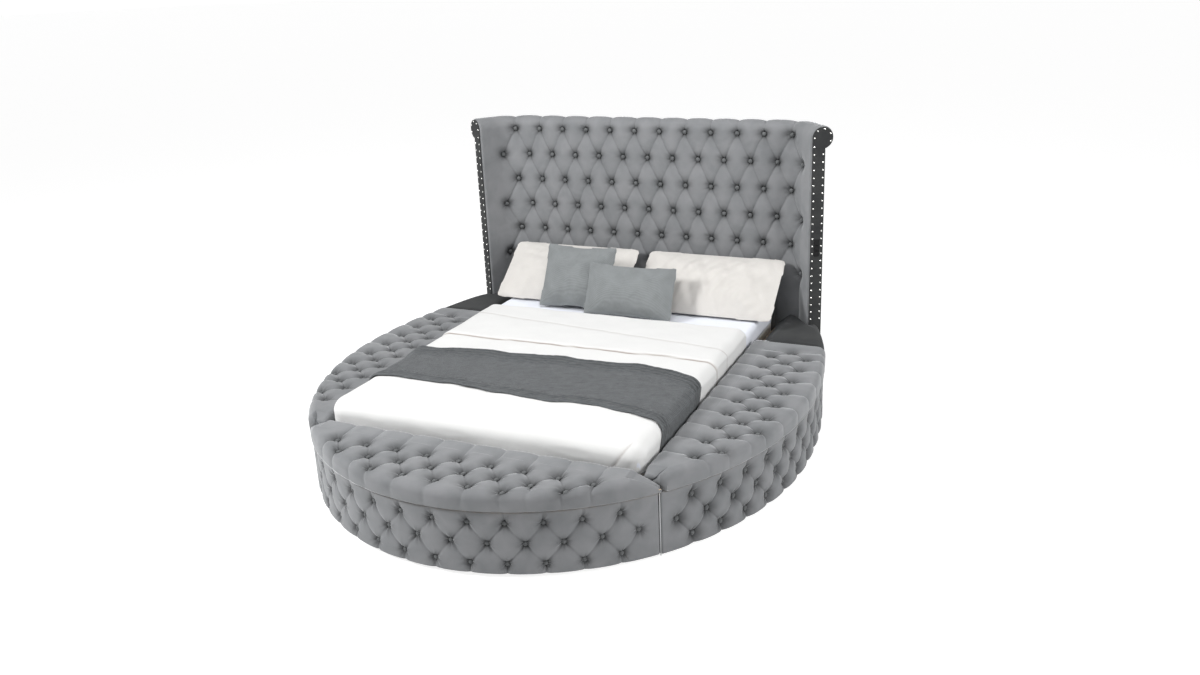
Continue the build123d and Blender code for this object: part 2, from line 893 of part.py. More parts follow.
def between(y_low, y_high):
    """Plan strip across the whole bed."""
    with BuildSketch(Plane((0, ring_y, 0))) as strip:
        with Locations((0, y_low)):
            Rectangle(plan_span, y_high - y_low, align=(Align.CENTER, Align.MIN))
    return strip.sketch


with BuildPart() as mattress:
    add(bed_block(0, mattress_bottom, mattress_top, mattress_edge_round))
save(mattress, "mattress")

with BuildPart() as fitted_sheet:
    add(
        bed_block(
            sheet_cover, mattress_top - sheet_drop, sheet_top, mattress_edge_round + sheet_cover
        )
    )
    add(
        bed_block(
            seat_gap, mattress_bottom, mattress_top + seat_gap, mattress_edge_round + seat_gap
        ),
        mode=Mode.SUBTRACT,
    )
save(fitted_sheet, "fitted_sheet")

# The duvet is turned back on itself towards its head edge
with BuildPart() as duvet:
    add(bed_block(duvet_cover, mattress_top - duvet_drop, duvet_top, duvet_round))
    add(
        bed_block(
            duvet_inside,
            mattress_bottom,
            mattress_top + duvet_inside,
            mattress_edge_round + duvet_inside,
        ),
        mode=Mode.SUBTRACT,
    )
    add(between(well_foot_y, duvet_head_edge))
    extrude(amount=headboard_top, mode=Mode.INTERSECT)
    with BuildPart(mode=Mode.PRIVATE) as turn_back:
        add(bed_block(duvet_cover, mattress_top, duvet_top + duvet_turn_thickness, duvet_round))
        add(bed_block(duvet_cover, mattress_bottom, duvet_top, duvet_round), mode=Mode.SUBTRACT)
        add(between(duvet_turn_back, duvet_head_edge))
        extrude(amount=headboard_top, mode=Mode.INTERSECT)
    add(turn_back.part)
save(duvet, "duvet")

# The throw lies across the duvet and hangs down on both sides, in long soft folds
throw_top = duvet_top + seat_gap + throw_thickness
throw_half_width = mattress_width / 2 + throw_cover
fold_half_width = throw_half_width - 2 * duvet_round
with BuildPart() as throw:
    add(
        bed_block(
            throw_cover,
            duvet_top - throw_drop,
            throw_top,
            duvet_round + seat_gap + throw_thickness,
        )
    )
    add(
        bed_block(throw_inside, mattress_bottom, duvet_top + seat_gap, duvet_round + seat_gap),
        mode=Mode.SUBTRACT,
    )
    for step in range(throw_folds):
        share = (step + 1) / (throw_folds + 1)
        left = throw_front_left + share * (throw_back_side - throw_front_left)
        right = throw_front_right + share * (throw_back_side - throw_front_right)
        along = (2 * throw_half_width, right - left, 0)
        across = (left - right, 2 * throw_half_width, 0)
        with BuildSketch(
            Plane((0, ring_y + (left + right) / 2, throw_top), x_dir=across, z_dir=along)
        ):
            Polygon(
                (-throw_fold_width / 2, 0),
                (throw_fold_width / 2, 0),
                (0, throw_fold_height),
                align=None,
            )
        extrude(amount=fold_half_width, both=True)
    with BuildSketch(Plane((0, ring_y, 0))):
        Polygon(
            (-throw_half_width, throw_front_left),
            (throw_half_width, throw_front_right),
            (throw_half_width, throw_back_side),
            (0, throw_back_middle),
            (-throw_half_width, throw_back_side),
            align=None,
        )
    extrude(amount=headboard_top, mode=Mode.INTERSECT)
save(throw, "throw")


# Pillows and cushions
cushion_shares = (0.3, 0.55, 0.75, 0.9, 1)


def cushion_outline(width, height, share):
    """A four-cornered outline whose sides are drawn in between the corners."""
    x = width / 2 * share
    y = height / 2 * share
    pinch = cushion_pinch_share * height * share
    with BuildSketch() as outline:
        with BuildLine():
            ThreePointArc((-x, -y), (0, pinch - y), (x, -y))
            ThreePointArc((x, -y), (x - pinch, 0), (x, y))
            ThreePointArc((x, y), (0, y - pinch), (-x, y))
            ThreePointArc((-x, y), (pinch - x, 0), (-x, -y))
        make_face()
    return outline.sketch


def cushion(width, height, thickness, x, y, tilt):
    """A crowned cushion that leans back by its tilt, its lower edge on the sheet."""
    crown = 1 - cushion_shares[0] ** 2
    with BuildPart() as flat:
        for side in (-1, 1):
            shares = cushion_shares if side < 0 else cushion_shares[-2::-1]
            for share in shares:
                rise = side * thickness / 2 * (1 - share**2) / crown
                with BuildSketch(Plane.XY.offset(rise)):
                    add(cushion_outline(width, height, share))
        loft(ruled=True)
    leaning = flat.part.moved(Location((x, ring_y + y, 0), (tilt, 0, 0)))
    lift = sheet_top + seat_gap - leaning.bounding_box().min.Z
    return leaning.moved(Location((0, 0, lift)))


pillow_sizes = (pillow_width, pillow_height, pillow_thickness)
with BuildPart() as left_pillow:
    add(cushion(*pillow_sizes, -pillow_spread, pillow_y, pillow_tilt))
save(left_pillow, "left_pillow")
with BuildPart() as right_pillow:
    add(cushion(*pillow_sizes, pillow_spread, pillow_y, pillow_tilt))
save(right_pillow, "right_pillow")

with BuildPart() as back_cushion:
    add(
        cushion(
            back_cushion_width,
            back_cushion_height,
            back_cushion_thickness,
            back_cushion_x,
            back_cushion_y,
            back_cushion_tilt,
        )
    )
save(back_cushion, "back_cushion")
with BuildPart() as front_cushion:
    add(
        cushion(
            front_cushion_width,
            front_cushion_height,
            front_cushion_thickness,
            front_cushion_x,
            front_cushion_y,
            front_cushion_tilt,
        )
    )
save(front_cushion, "front_cushion")
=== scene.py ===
# %% [markdown]
# # A round storage bed in grey velvet
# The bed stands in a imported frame: every rigid piece, hinge and board is there already at its real size.
# This lesson dresses that frame. It makes the deep-buttoned velvet, the bedding and the finishes, and it
# never moves a piece of the frame.

import math
from types import SimpleNamespace

import bmesh
import bpy
import numpy as np
from mathutils import Matrix, Vector


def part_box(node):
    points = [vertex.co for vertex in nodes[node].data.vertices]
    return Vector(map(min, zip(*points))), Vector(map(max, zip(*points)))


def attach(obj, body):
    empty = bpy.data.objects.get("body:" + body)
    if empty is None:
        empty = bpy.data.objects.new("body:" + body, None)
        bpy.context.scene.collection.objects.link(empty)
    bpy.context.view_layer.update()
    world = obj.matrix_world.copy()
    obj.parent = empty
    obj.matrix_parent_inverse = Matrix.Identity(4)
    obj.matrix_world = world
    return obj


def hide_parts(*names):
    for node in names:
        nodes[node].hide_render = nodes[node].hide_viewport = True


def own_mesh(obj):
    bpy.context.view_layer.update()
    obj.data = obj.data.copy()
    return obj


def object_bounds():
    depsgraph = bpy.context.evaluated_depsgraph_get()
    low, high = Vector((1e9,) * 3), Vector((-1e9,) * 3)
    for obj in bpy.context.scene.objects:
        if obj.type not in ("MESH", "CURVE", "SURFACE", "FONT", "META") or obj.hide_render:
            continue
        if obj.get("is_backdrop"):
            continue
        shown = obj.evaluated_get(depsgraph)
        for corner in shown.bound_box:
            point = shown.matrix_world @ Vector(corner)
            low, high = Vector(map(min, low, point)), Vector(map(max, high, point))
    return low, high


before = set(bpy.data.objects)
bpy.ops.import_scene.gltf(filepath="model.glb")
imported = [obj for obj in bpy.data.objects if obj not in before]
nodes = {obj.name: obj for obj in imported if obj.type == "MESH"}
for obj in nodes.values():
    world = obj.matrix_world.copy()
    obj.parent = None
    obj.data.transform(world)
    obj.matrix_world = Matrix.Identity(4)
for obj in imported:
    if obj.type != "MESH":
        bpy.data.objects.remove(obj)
cad_low, cad_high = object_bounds()
print("frame", len(nodes), "nodes, box", [round(c, 3) for c in (*cad_low, *cad_high)])

# %% [markdown]
# ## The bed's plan
# In plan the ring of benches is two half ellipses that meet at the widest line. Their sizes are read from
# the lid boards, so the fabric always lies on the boards that carry it. A dense run of points along the
# outline, with its length and its outward normal at each, turns "so far round the bed" into a place.
# A curve object could hold the same line, but arrays can be measured and searched at once.

# %% Outline of the ring
foot_low, foot_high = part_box("foot_lid_board")
side_low, side_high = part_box("right_lid_board")
widest_line = 1.0
head_reach = 1.8
well_edge = side_low.x
half_width = side_high.x
centre_y = foot_high.y + widest_line
foot_reach = centre_y - foot_low.y
seam_z = side_low.z
board_top = side_high.z
lid_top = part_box("right_lid_pad")[1].z


def outline(inset):
    """Points, length and outward normal along the ring, from its left over the foot to its head."""
    angle = np.radians(np.linspace(180, 450, 6000))
    reach = np.where(angle < 2 * np.pi, foot_reach, head_reach) - inset
    x = (half_width - inset) * np.cos(angle)
    points = np.stack([x, centre_y + reach * np.sin(angle)], axis=1)
    step = np.diff(points, axis=0)
    length = np.concatenate([[0], np.cumsum(np.linalg.norm(step, axis=1))])
    tangent = np.gradient(points, length, axis=0)
    tangent /= np.linalg.norm(tangent, axis=1)[:, None]
    normal = np.stack([tangent[:, 1], -tangent[:, 0]], axis=1)
    return {"points": points, "length": length, "normal": normal}


def at_length(line, length):
    """Points and outward normals at distances along an outline."""
    sampled = [
        np.interp(length, line["length"], line[key][:, axis])
        for key in ("points", "normal")
        for axis in (0, 1)
    ]
    points = np.stack(sampled[:2], axis=-1)
    normal = np.stack(sampled[2:], axis=-1)
    return points, normal / np.linalg.norm(normal, axis=-1, keepdims=True)


def nearest(line, points):
    """Index of the outline's nearest sample to each point."""
    return np.array([np.argmin(((line["points"] - p) ** 2).sum(axis=1)) for p in points])


rim_line = outline(0)
print("ring", round(2 * half_width, 3), "m wide, foot reach", round(foot_reach, 3))

# %% [markdown]
# ## Where the buttons are
# The frame holds each covered button as a small solid of its own. The places could be typed in again, but
# two lists drift apart. So the centres are read from the frame, and every fold runs to a real button.

# %% Read the small solids of a node
def solids_of(name):
    """The vertices of each separate solid in a node, as arrays."""
    bm = bmesh.new()
    bm.from_mesh(nodes[name].data)
    bmesh.ops.remove_doubles(bm, verts=bm.verts, dist=1e-5)
    left = set(bm.verts)
    found = []
    while left:
        island = [left.pop()]
        for vert in island:
            for edge in vert.link_edges:
                other = edge.other_vert(vert)
                if other in left:
                    left.remove(other)
                    island.append(other)
        found.append(np.array([v.co for v in island]))
    bm.free()
    return found


def centres_of(name):
    """Middle point of each separate solid in a node."""
    return np.array([solid.mean(axis=0) for solid in solids_of(name)])


print("headboard buttons", len(centres_of("headboard_buttons")))

# %% [markdown]
# ## How deep buttoning shapes velvet
# An upholsterer pulls each button down through the foam, and the spare cloth between two neighbours folds
# into a crease. The crease is deep beside a button and shallow half way, and the cloth swells between the
# creases. A cloth simulation of buttons pulled into foam is slow and uneven, and sculpting by hand can't be
# repeated. So the depth at a point is worked out from its distance to the creases, in the flat coordinates
# of the unrolled cloth, and moving the vertices of a fine grid by that depth gives the puffs.
# First come two plain helpers: a smooth noise, and the drop of a rounded edge.

# %% Smooth noise and rounded edges
def noise_field(points, seed, waves):
    """A smooth sum of waves in chosen directions, between about -1 and 1."""
    random = np.random.default_rng(seed)
    total = np.zeros(points.shape[:-1])
    for length, weight in waves:
        for _ in range(4):
            angle = random.uniform(0, 2 * np.pi)
            phase = random.uniform(0, 2 * np.pi)
            position = points[..., 0] * np.cos(angle) + points[..., 1] * np.sin(angle)
            total += weight / 4 * np.sin(2 * np.pi * position / length + phase)
    return total


def quarter_round(share):
    """Runs from 1 at share 0 down to 0 at share 1 along a quarter of a circle."""
    return 1 - np.sqrt(1 - (1 - share) ** 2)


def edge_drop(distance, radius):
    """How far a rounded edge lies below its face, at a distance from its end."""
    return radius * quarter_round(np.clip(distance / radius, 0, 1))


print("drop at a rounded edge's half way", round(float(edge_drop(0.006, 0.012)) * 1000, 2), "mm")

# %% [markdown]
# Each button is joined by a crease to its neighbours in the rows beside its own. A button at the border of
# a pad lacks one there, so its spare cloth runs on as a single pleat.

# %% Which buttons a crease joins
# a neighbour lies less than this share of the spacing aside, and about one row away
side_share = 0.75
row_least, row_most = 0.5, 1.3


def tuft_links(buttons, along, up):
    """Creases between each button and its neighbours in the next row."""
    links = []
    for i, a in enumerate(buttons):
        for b in buttons[i + 1 :]:
            du, dv = abs(a - b)
            if du < side_share * along and row_least * up < dv < row_most * up:
                links.append((a, b, True))
    return links


def lacking(buttons, along, up, sign):
    """Index of each button that lacks a neighbour on one side, where spare cloth becomes a pleat."""
    found = []
    for i, a in enumerate(buttons):
        beside = np.abs(buttons[:, 0] - a[0]) < side_share * along
        rise = sign * (buttons[:, 1] - a[1])
        if (beside & (rise > row_least * up) & (rise < row_most * up)).sum() < 2:
            found.append(i)
    return found


def nearest_button(points, spots):
    """Offset of each point from its nearest button, its length, and which button it is."""
    offset = points[:, None] - spots[None]
    closest = np.argmin((offset**2).sum(axis=2), axis=1)
    offset = offset[np.arange(len(points)), closest]
    return offset, np.linalg.norm(offset, axis=1), closest


# %% [markdown]
# A crease is a groove with round flanks, and its floor is deepest at its buttons. Each button sits in a round
# well. Where grooves meet, the deepest one has to win softly, so the depths are summed as a high power.
# Hand-made creases are never quite straight, so they wander a few millimetres away from the buttons.

# %% Depth of the creases
fold_power = 4
fold_bottom = 0.0012
straight_reach = 0.03
well_share = 0.96
crease_fall = 1.3
pleat_depth, pleat_loss = 1.25, 0.3
wander_waves = [(0.14, 0.0036), (0.07, 0.0014)]


def wander(points, away):
    """Shift points sideways, except near a button, so that the creases wander."""
    sideways = [noise_field(points, seed, wander_waves) for seed in (41, 42)]
    return points + (1 - np.exp(-((away / straight_reach) ** 2)))[:, None] * np.stack(sideways, axis=1)


def to_crease(points, start, end, both):
    """Share of the way along a crease, distance from it, and distance along it from a button."""
    line = end - start
    length = np.linalg.norm(line)
    offset = points - start
    share = np.clip(offset @ line / length**2, 0, 1)
    side = np.linalg.norm(offset - share[:, None] * line, axis=1)
    along = share * length
    if both:
        along = np.minimum(along, length - along)
    return share, side, along


def fold_depth(points, links, spots, pit, crease, reach=0.034, flank=0.056, well=0.03):
    """Depth of the folded cloth at points of its unrolled plane, all in metres."""
    away = nearest_button(points, spots)[1]
    total = (well_share * pit * np.exp(-((away / well) ** 2))) ** fold_power
    points = wander(points, away)
    for start, end, both in links:
        share, side, along = to_crease(points, start, end, both)
        floor = crease + (pit - crease) * np.exp(-((along / reach) ** crease_fall))
        if not both:
            floor = pleat_depth * floor * (1 - pleat_loss * share)
        flat_share = np.clip((np.sqrt(side**2 + fold_bottom**2) - fold_bottom) / flank, 0, 1)
        total += (floor * quarter_round(flat_share)) ** fold_power
    return total ** (1 / fold_power)


# %% [markdown]
# Round a button the pile is crushed into small gathers, and light hardly reaches the bottom of a fold. The
# mesh can't carry gathers of a millimetre, so each vertex is given marks that the velvet's material reads:
# where its button is, how strongly the cloth is gathered there, and how much painted shade darkens the fold.

# %% Gathers and dark folds
gather_height, gather_ring, gather_width = 0.0024, 0.024, 0.017
gathers_round = (5, 7, 9)
gather_reach = 0.03
dark_line, dark_run = 0.0042, 0.024
middle_dark, well_dark, crease_dark = 0.16, 0.93, 0.55


def fold_marks(points, links, spots, seed, dark_reach):
    """Height of the gathers round each button, and the marks for the velvet's material."""
    offset, away, closest = nearest_button(points, spots)
    angle = np.arctan2(offset[:, 1], offset[:, 0])
    points = wander(points, away)
    phases = np.random.default_rng(seed).uniform(0, 2 * np.pi, (3, len(spots)))
    folds = sum(np.sin(k * angle + phase[closest]) for k, phase in zip(gathers_round, phases)) / 3
    gathers = gather_height * np.exp(-(((away - gather_ring) / gather_width) ** 2)) * folds
    crease = np.zeros(len(points))
    for start, end, both in links:
        _, side, along = to_crease(points, start, end, both)
        near_button = middle_dark + (1 - middle_dark) * np.exp(-along / dark_run)
        dark = np.exp(-((side / dark_line) ** 2)) * near_button
        crease = np.maximum(crease, dark if both else 0.5 * dark)
    # painted shade: darker in each button's well and along the creases, where little light reaches
    in_well = well_dark * np.exp(-((away / dark_reach) ** 1.5))
    shade = np.clip(in_well + crease_dark * crease, 0, 1)
    gather = np.exp(-((away / gather_reach) ** 2))
    return gathers, np.stack([offset[:, 0], offset[:, 1], gather, shade], axis=1)


# %% [markdown]
# ## A grid that becomes a padded shell
# Each pad starts as a flat grid. Its vertices are moved to the pad's surface in one step, and then the
# open edges are drawn down and closed, so that the result is a closed body like the real pad. A solidify
# modifier would thicken the folds too, and here the pad's back has to stay flat on its board.

# %% Grid and mesh helpers
def grid_mesh(places, marks=None):
    """A grid whose vertices take an array of places, rows by columns, and marks for the velvet."""
    rows, columns = places.shape[:2]
    bm = bmesh.new()
    bmesh.ops.create_grid(bm, x_segments=columns - 1, y_segments=rows - 1, size=0.5)
    bm.verts.ensure_lookup_table()
    for vert, place in zip(bm.verts, places.reshape(-1, 3)):
        vert.co = place
    if marks is not None:
        tuft = bm.verts.layers.float_vector.new("tuft")
        shade = bm.verts.layers.float.new("shade")
        for vert, mark in zip(bm.verts, marks.reshape(-1, 4)):
            vert[tuft] = mark[:3]
            vert[shade] = mark[3]
    return bm


def finished(bm, name, body, material):
    """Make the object of a finished mesh, with its material, riding on its body."""
    bmesh.ops.recalc_face_normals(bm, faces=bm.faces)
    mesh = bpy.data.meshes.new(name)
    bm.to_mesh(mesh)
    bm.free()
    mesh.polygons.foreach_set("use_smooth", [True] * len(mesh.polygons))
    mesh.materials.append(material)
    piece = bpy.data.objects.new(name, mesh)
    bpy.context.scene.collection.objects.link(piece)
    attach(piece, body)
    print(name, len(mesh.polygons), "faces")
    return piece


def closed_layer(name, body, upper, lower, material, marks=None):
    """A closed cloth of two grids, joined round their edge."""
    bm = grid_mesh(upper, marks)
    lower_bm = grid_mesh(lower)
    bmesh.ops.reverse_faces(lower_bm, faces=lower_bm.faces)
    holder = bpy.data.meshes.new(name + "_lower")
    lower_bm.to_mesh(holder)
    lower_bm.free()
    bm.from_mesh(holder)
    bpy.data.meshes.remove(holder)
    bmesh.ops.bridge_loops(bm, edges=[e for e in bm.edges if e.is_boundary])
    return finished(bm, name, body, material)


def mirrored(piece, name, body):
    """The left-hand copy of a right-hand piece."""
    bm = bmesh.new()
    bm.from_mesh(piece.data)
    bmesh.ops.scale(bm, vec=(-1, 1, 1), verts=bm.verts)
    bmesh.ops.reverse_faces(bm, faces=bm.faces)
    return finished(bm, name, body, piece.data.materials[0])


# %% [markdown]
# ## Colours and nodes
# Colours are written as the sRGB values that a colour picker shows, and one function turns them to the
# linear values that the shader wants. One more function adds a node with its settings and its links.

# %% Colour and node helpers
def linear(code):
    """Linear colour of an sRGB hex value."""
    values = [int(code[i : i + 2], 16) / 255 for i in (1, 3, 5)]
    return [v / 12.92 if v <= 0.04045 else ((v + 0.055) / 1.055) ** 2.4 for v in values] + [1]


def add_node(tree, kind, settings=None, links=None):
    """Add a node with its settings and with links from other nodes' outputs."""
    node = tree.nodes.new(kind)
    for key, value in (settings or {}).items():
        if key in node.inputs:
            node.inputs[key].default_value = value
        else:
            setattr(node, key, value)
    for key, source in (links or {}).items():
        tree.links.new(source, node.inputs[key])
    return node


def new_material(name, settings):
    """A material with one principled shader and the object's own coordinates."""
    material = bpy.data.materials.new(name)
    material.use_nodes = True
    tree = material.node_tree
    shader = tree.nodes["Principled BSDF"]
    for key, value in settings.items():
        shader.inputs[key].default_value = value
    place = add_node(tree, "ShaderNodeTexCoord").outputs["Object"]
    return material, tree, shader, place


def blend_colours(tree, factor, low, high):
    """A colour that runs from low to high with a factor."""
    mix = add_node(tree, "ShaderNodeMix", {"data_type": "RGBA"}, {"Factor": factor})
    mix.inputs[6].default_value = linear(low)
    mix.inputs[7].default_value = linear(high)
    return mix.outputs[2]


def darkened(tree, factor, colour, deep):
    """A colour that gives way to a deep one with a factor."""
    mix = add_node(tree, "ShaderNodeMix", {"data_type": "RGBA"}, {"Factor": factor, 6: colour})
    mix.inputs[7].default_value = linear(deep)
    return mix.outputs[2]


print("mid grey #808080 is", round(linear("#808080")[0], 3), "linear")

# %% [markdown]
# ## Velvet
# The cover is polyester velvet, woven and cut, so a short pile stands on it. Pile takes light at a
# grazing angle and leaves it dark face on, which the sheen gives, and brushing turns it here and there, so
# the grey drifts over a few centimetres. Hair would show each fibre, but not from this far, so a shader is
# enough. A real pile grain is under half a millimetre and wouldn't show, so its bump is drawn at 1.6 mm.

# %% Velvet material
nap_metres = 0.11
pile_metres = 0.0016
gather_spokes = 3.2
gather_drift = 1.6


def gathers_bump(tree, place):
    """Small gathers that run like spokes to each button, from the marks on the mesh."""
    tuft = add_node(tree, "ShaderNodeAttribute", {"attribute_name": "tuft"})
    parts = add_node(tree, "ShaderNodeSeparateXYZ", links={"Vector": tuft.outputs["Vector"]}).outputs
    flat = add_node(tree, "ShaderNodeCombineXYZ", links={"X": parts[0], "Y": parts[1]})
    unit = add_node(tree, "ShaderNodeVectorMath", {"operation": "NORMALIZE"}, {0: flat.outputs[0]})
    wheel = add_node(tree, "ShaderNodeVectorMath", {"operation": "SCALE"}, {0: unit.outputs[0]})
    wheel.inputs["Scale"].default_value = gather_spokes
    both = {0: place, 2: wheel.outputs[0]}
    spokes = add_node(tree, "ShaderNodeVectorMath", {"operation": "MULTIPLY_ADD"}, both)
    spokes.inputs[1].default_value = (gather_drift,) * 3
    noise = {"Scale": 1.0, "Detail": 1.5}
    gathers = add_node(tree, "ShaderNodeTexNoise", noise, {"Vector": spokes.outputs[0]})
    strong = {0: gathers.outputs[0], 1: parts[2]}
    height = add_node(tree, "ShaderNodeMath", {"operation": "MULTIPLY"}, strong)
    raised = {"Strength": 0.9, "Distance": 0.009}
    return add_node(tree, "ShaderNodeBump", raised, {"Height": height.outputs[0]})


def velvet(name, dark, light, sheen):
    """Cut velvet. Marks on the mesh tell how far a point lies from its button and how much painted shade its
    fold gets.
    """
    look = {"Roughness": 0.8, "Sheen Weight": sheen, "Sheen Roughness": 0.34}
    look |= {"Sheen Tint": linear("#f4f6f8"), "Specular IOR Level": 0.15}
    material, tree, shader, place = new_material(name, look)
    brushed = {"Scale": 1 / nap_metres, "Detail": 3, "Roughness": 0.5, "Distortion": 0.4}
    nap = add_node(tree, "ShaderNodeTexNoise", brushed, {"Vector": place})
    middle = {"From Min": 0.3, "From Max": 0.7}
    spread = add_node(tree, "ShaderNodeMapRange", middle, {"Value": nap.outputs[0]})
    colour = blend_colours(tree, spread.outputs[0], dark, light)
    # painted shade: the shade mark darkens the colour towards near black in the button wells and creases,
    # where little light reaches; the crushed pile there is a little darker too
    painted_fold_shade = add_node(tree, "ShaderNodeAttribute", {"attribute_name": "shade"})
    tree.links.new(darkened(tree, painted_fold_shade.outputs["Fac"], colour, "#232424"), shader.inputs["Base Color"])
    pile_noise = {"Scale": 1 / pile_metres, "Detail": 2}
    pile = add_node(tree, "ShaderNodeTexNoise", pile_noise, {"Vector": place})
    raised = {"Strength": 0.15, "Distance": 0.0006}
    below = {"Height": pile.outputs[0], "Normal": gathers_bump(tree, place).outputs[0]}
    bump = add_node(tree, "ShaderNodeBump", raised, below)
    tree.links.new(bump.outputs[0], shader.inputs["Normal"])
    return material


# the pads' pile, brushed to and fro, drifts in tone and shows bright rims by its sheen; its folds take
# painted shade from the marks
grey_velvet = velvet("cut_velvet_grey", "#77797b", "#848587", 0.75)
# a darker copy of the same velvet, with painted shade: the corner tops, the gussets and the wing panels lie
# in shadow, so their colour is made nearly black
shaded_panel_velvet = velvet("cut_velvet_grey_painted_shade_panel", "#303132", "#3a3b3b", 0.15)
# a darker copy of the velvet, with painted shade, because the buttons sit in the shadow of their wells
shaded_button_velvet = velvet("cut_velvet_grey_buttons_painted_shade", "#5b5d5e", "#666869", 0.4)

# %% [markdown]
# ## Bench lids
# A lid's pad is flat on top, rounded over its outer edge and drawn in towards the mattress along a slope, so
# that the lid can open past the bedding. It could be a subdivided box, but then the tufts would have to be
# cut in by hand. So it is a grid: its rows run from the mattress over the top and down the rim to the seam.

# %% Sizes of the lids' padding
rim_round = 0.034
rim_proud = 0.0012
slope_run = 0.0703
slope_foot = board_top + 0.003
slope_rise = lid_top - slope_foot
board_cover = 0.0003
rim_low = seam_z + board_cover
lid_under = board_top + board_cover
grid_step = 0.0046
slope_columns = 12
cut_round = 0.012
# a lid narrower than this many rim roundings is a tip, and its top sinks
tip_rounds = 2.2
tip_sink = 0.6
slope_most = 0.9
least_lean = 0.45
print("lid padding", round((lid_top - board_top) * 1000, 1), "mm thick")

# %% [markdown]
# A rim is a quarter circle from the flat top and a short wall down to the seam. How far each of its points
# lies along the cloth is kept too, because the folds are measured there.

# %% Profile of a lid's outer rim
def rim_profile():
    """Inset, height, unrolled distance and tilt of the rim."""
    tilt = np.radians(np.linspace(0, 90, 14))
    inset = rim_round * (1 - np.sin(tilt))
    height = lid_top - rim_round * (1 - np.cos(tilt))
    wall = np.linspace(height[-1], rim_low, 10)[1:]
    inset = np.concatenate([inset, np.zeros(len(wall))])
    height = np.concatenate([height, wall])
    tilt = np.concatenate([tilt, np.full(len(wall), np.pi / 2)])
    run = np.concatenate([[0], np.cumsum(np.hypot(np.diff(inset), np.diff(height)))])
    return inset - rim_proud, height, run, tilt


print("rim", round(rim_profile()[2][-1] * 1000, 1), "mm along the cloth")

# %% [markdown]
# The lids end in thin tips, where a full rim doesn't fit. There the rounding shrinks with the width, and the
# top sinks with it. The grid is laid out before any folding, and every later step reads it.

# %% Grid of a lid
def lid_grid(inner, outer):
    """The grid of a lid before folding. inner and outer are the plan points of its two long edges."""
    inset, height, run, tilt = rim_profile()
    across = outer - inner
    width = np.linalg.norm(across, axis=1)
    across = across / np.maximum(width, 1e-6)[:, None]
    normal = rim_line["normal"][nearest(rim_line, outer)]
    lean = 1 / np.clip((across * normal).sum(axis=1), least_lean, 1)
    shrink = np.clip(width / (tip_rounds * rim_round * lean), 0.01, 1)
    top_width = width - rim_round * lean * shrink
    slope_end = np.minimum(slope_run, slope_most * top_width)
    on_slope = np.linspace(0, 1, slope_columns, endpoint=False)[None, :] * slope_end[:, None]
    top_share = np.linspace(0, 1, int((np.max(top_width) - slope_run) / grid_step), endpoint=False)
    on_top = slope_end[:, None] + top_share[None, :] * (top_width - slope_end)[:, None]
    from_inner = np.concatenate([on_slope, on_top], axis=1)
    flat = inner[:, None] + across[:, None] * from_inner[..., None]
    rim_inset = inset[None, :] * (lean * shrink)[:, None]
    rim = outer[:, None] - across[:, None] * rim_inset[..., None]
    rim_start = inner + across * top_width[:, None]
    rim_cloth = rim_start[:, None] + normal[:, None] * (run[None, :] * shrink[:, None])[..., None]
    top = rim_low + (lid_top - rim_low) * shrink**tip_sink
    rim_share = (height - rim_low) / (lid_top - rim_low)
    rim_z = rim_low + rim_share[None, :] * (top - rim_low)[:, None]
    slope = slope_foot + np.clip(from_inner / slope_run, 0, 1) * slope_rise
    return SimpleNamespace(
        inner=inner,
        across=across,
        normal=normal,
        shrink=shrink,
        top=top,
        slope_end=slope_end,
        from_inner=from_inner,
        run=run,
        tilt=tilt,
        rim_share=rim_share,
        rim_z=rim_z,
        plan=np.concatenate([flat, rim], axis=1),
        unrolled=np.concatenate([flat, rim_cloth], axis=1),
        z=np.concatenate([np.minimum(slope, top[:, None]), rim_z], axis=1),
    )


# %% [markdown]
# The outer buttons send a pleat over the rim and the inner ones send a pleat to the mattress. Depth and marks
# come from the same rules for the lid and for the roll along its inner edge, so that folds run on across
# their joint.

# %% Creases and folds of a lid
lid_row = 0.09
lid_first = 0.136
lid_pit = 0.027
lid_crease = 0.0105
lid_crown = 0.004
lid_dark = 0.031
pleat_over_rim = 0.06


def lid_creases(buttons, pitch, to_cloth):
    """The buttons in cloth coordinates, and each crease and pleat that runs from them."""
    spots = to_cloth(buttons)
    links = tuft_links(spots, pitch, lid_row)
    for i in lacking(spots, pitch, lid_row, 1):
        k = nearest(rim_line, buttons[i : i + 1])[0]
        end = rim_line["points"][k] + pleat_over_rim * rim_line["normal"][k]
        links.append((spots[i], to_cloth(end[None])[0], False))
    for i in lacking(spots, pitch, lid_row, -1):
        links.append((spots[i], spots[i] - (0, lid_first), False))
    return spots, links


def lid_folds(cloth, links, spots):
    """Depth of the folded velvet at points of the cloth, and the marks for its material."""
    depth = fold_depth(cloth, links, spots, lid_pit, lid_crease)
    gathers, marks = fold_marks(cloth, links, spots, len(spots), lid_dark)
    return depth - gathers, marks


# %% [markdown]
# Now the grid takes its shape. Each point is pushed along the cover's outward direction, up on the top and
# outward on the rim. Three limits keep it true: it never sinks into the board, it is rounded where the lid
# is cut across, and nothing stands above the slope's own plane, because the opened lid comes close to the
# bedding there.

# %% Surface of a lid
crown_run = 0.016
rim_fade = 0.7
free_height = 0.014
least_in, most_in = 0.0006, 0.03
cut_side_share = 0.4
plane_gap = 0.0004


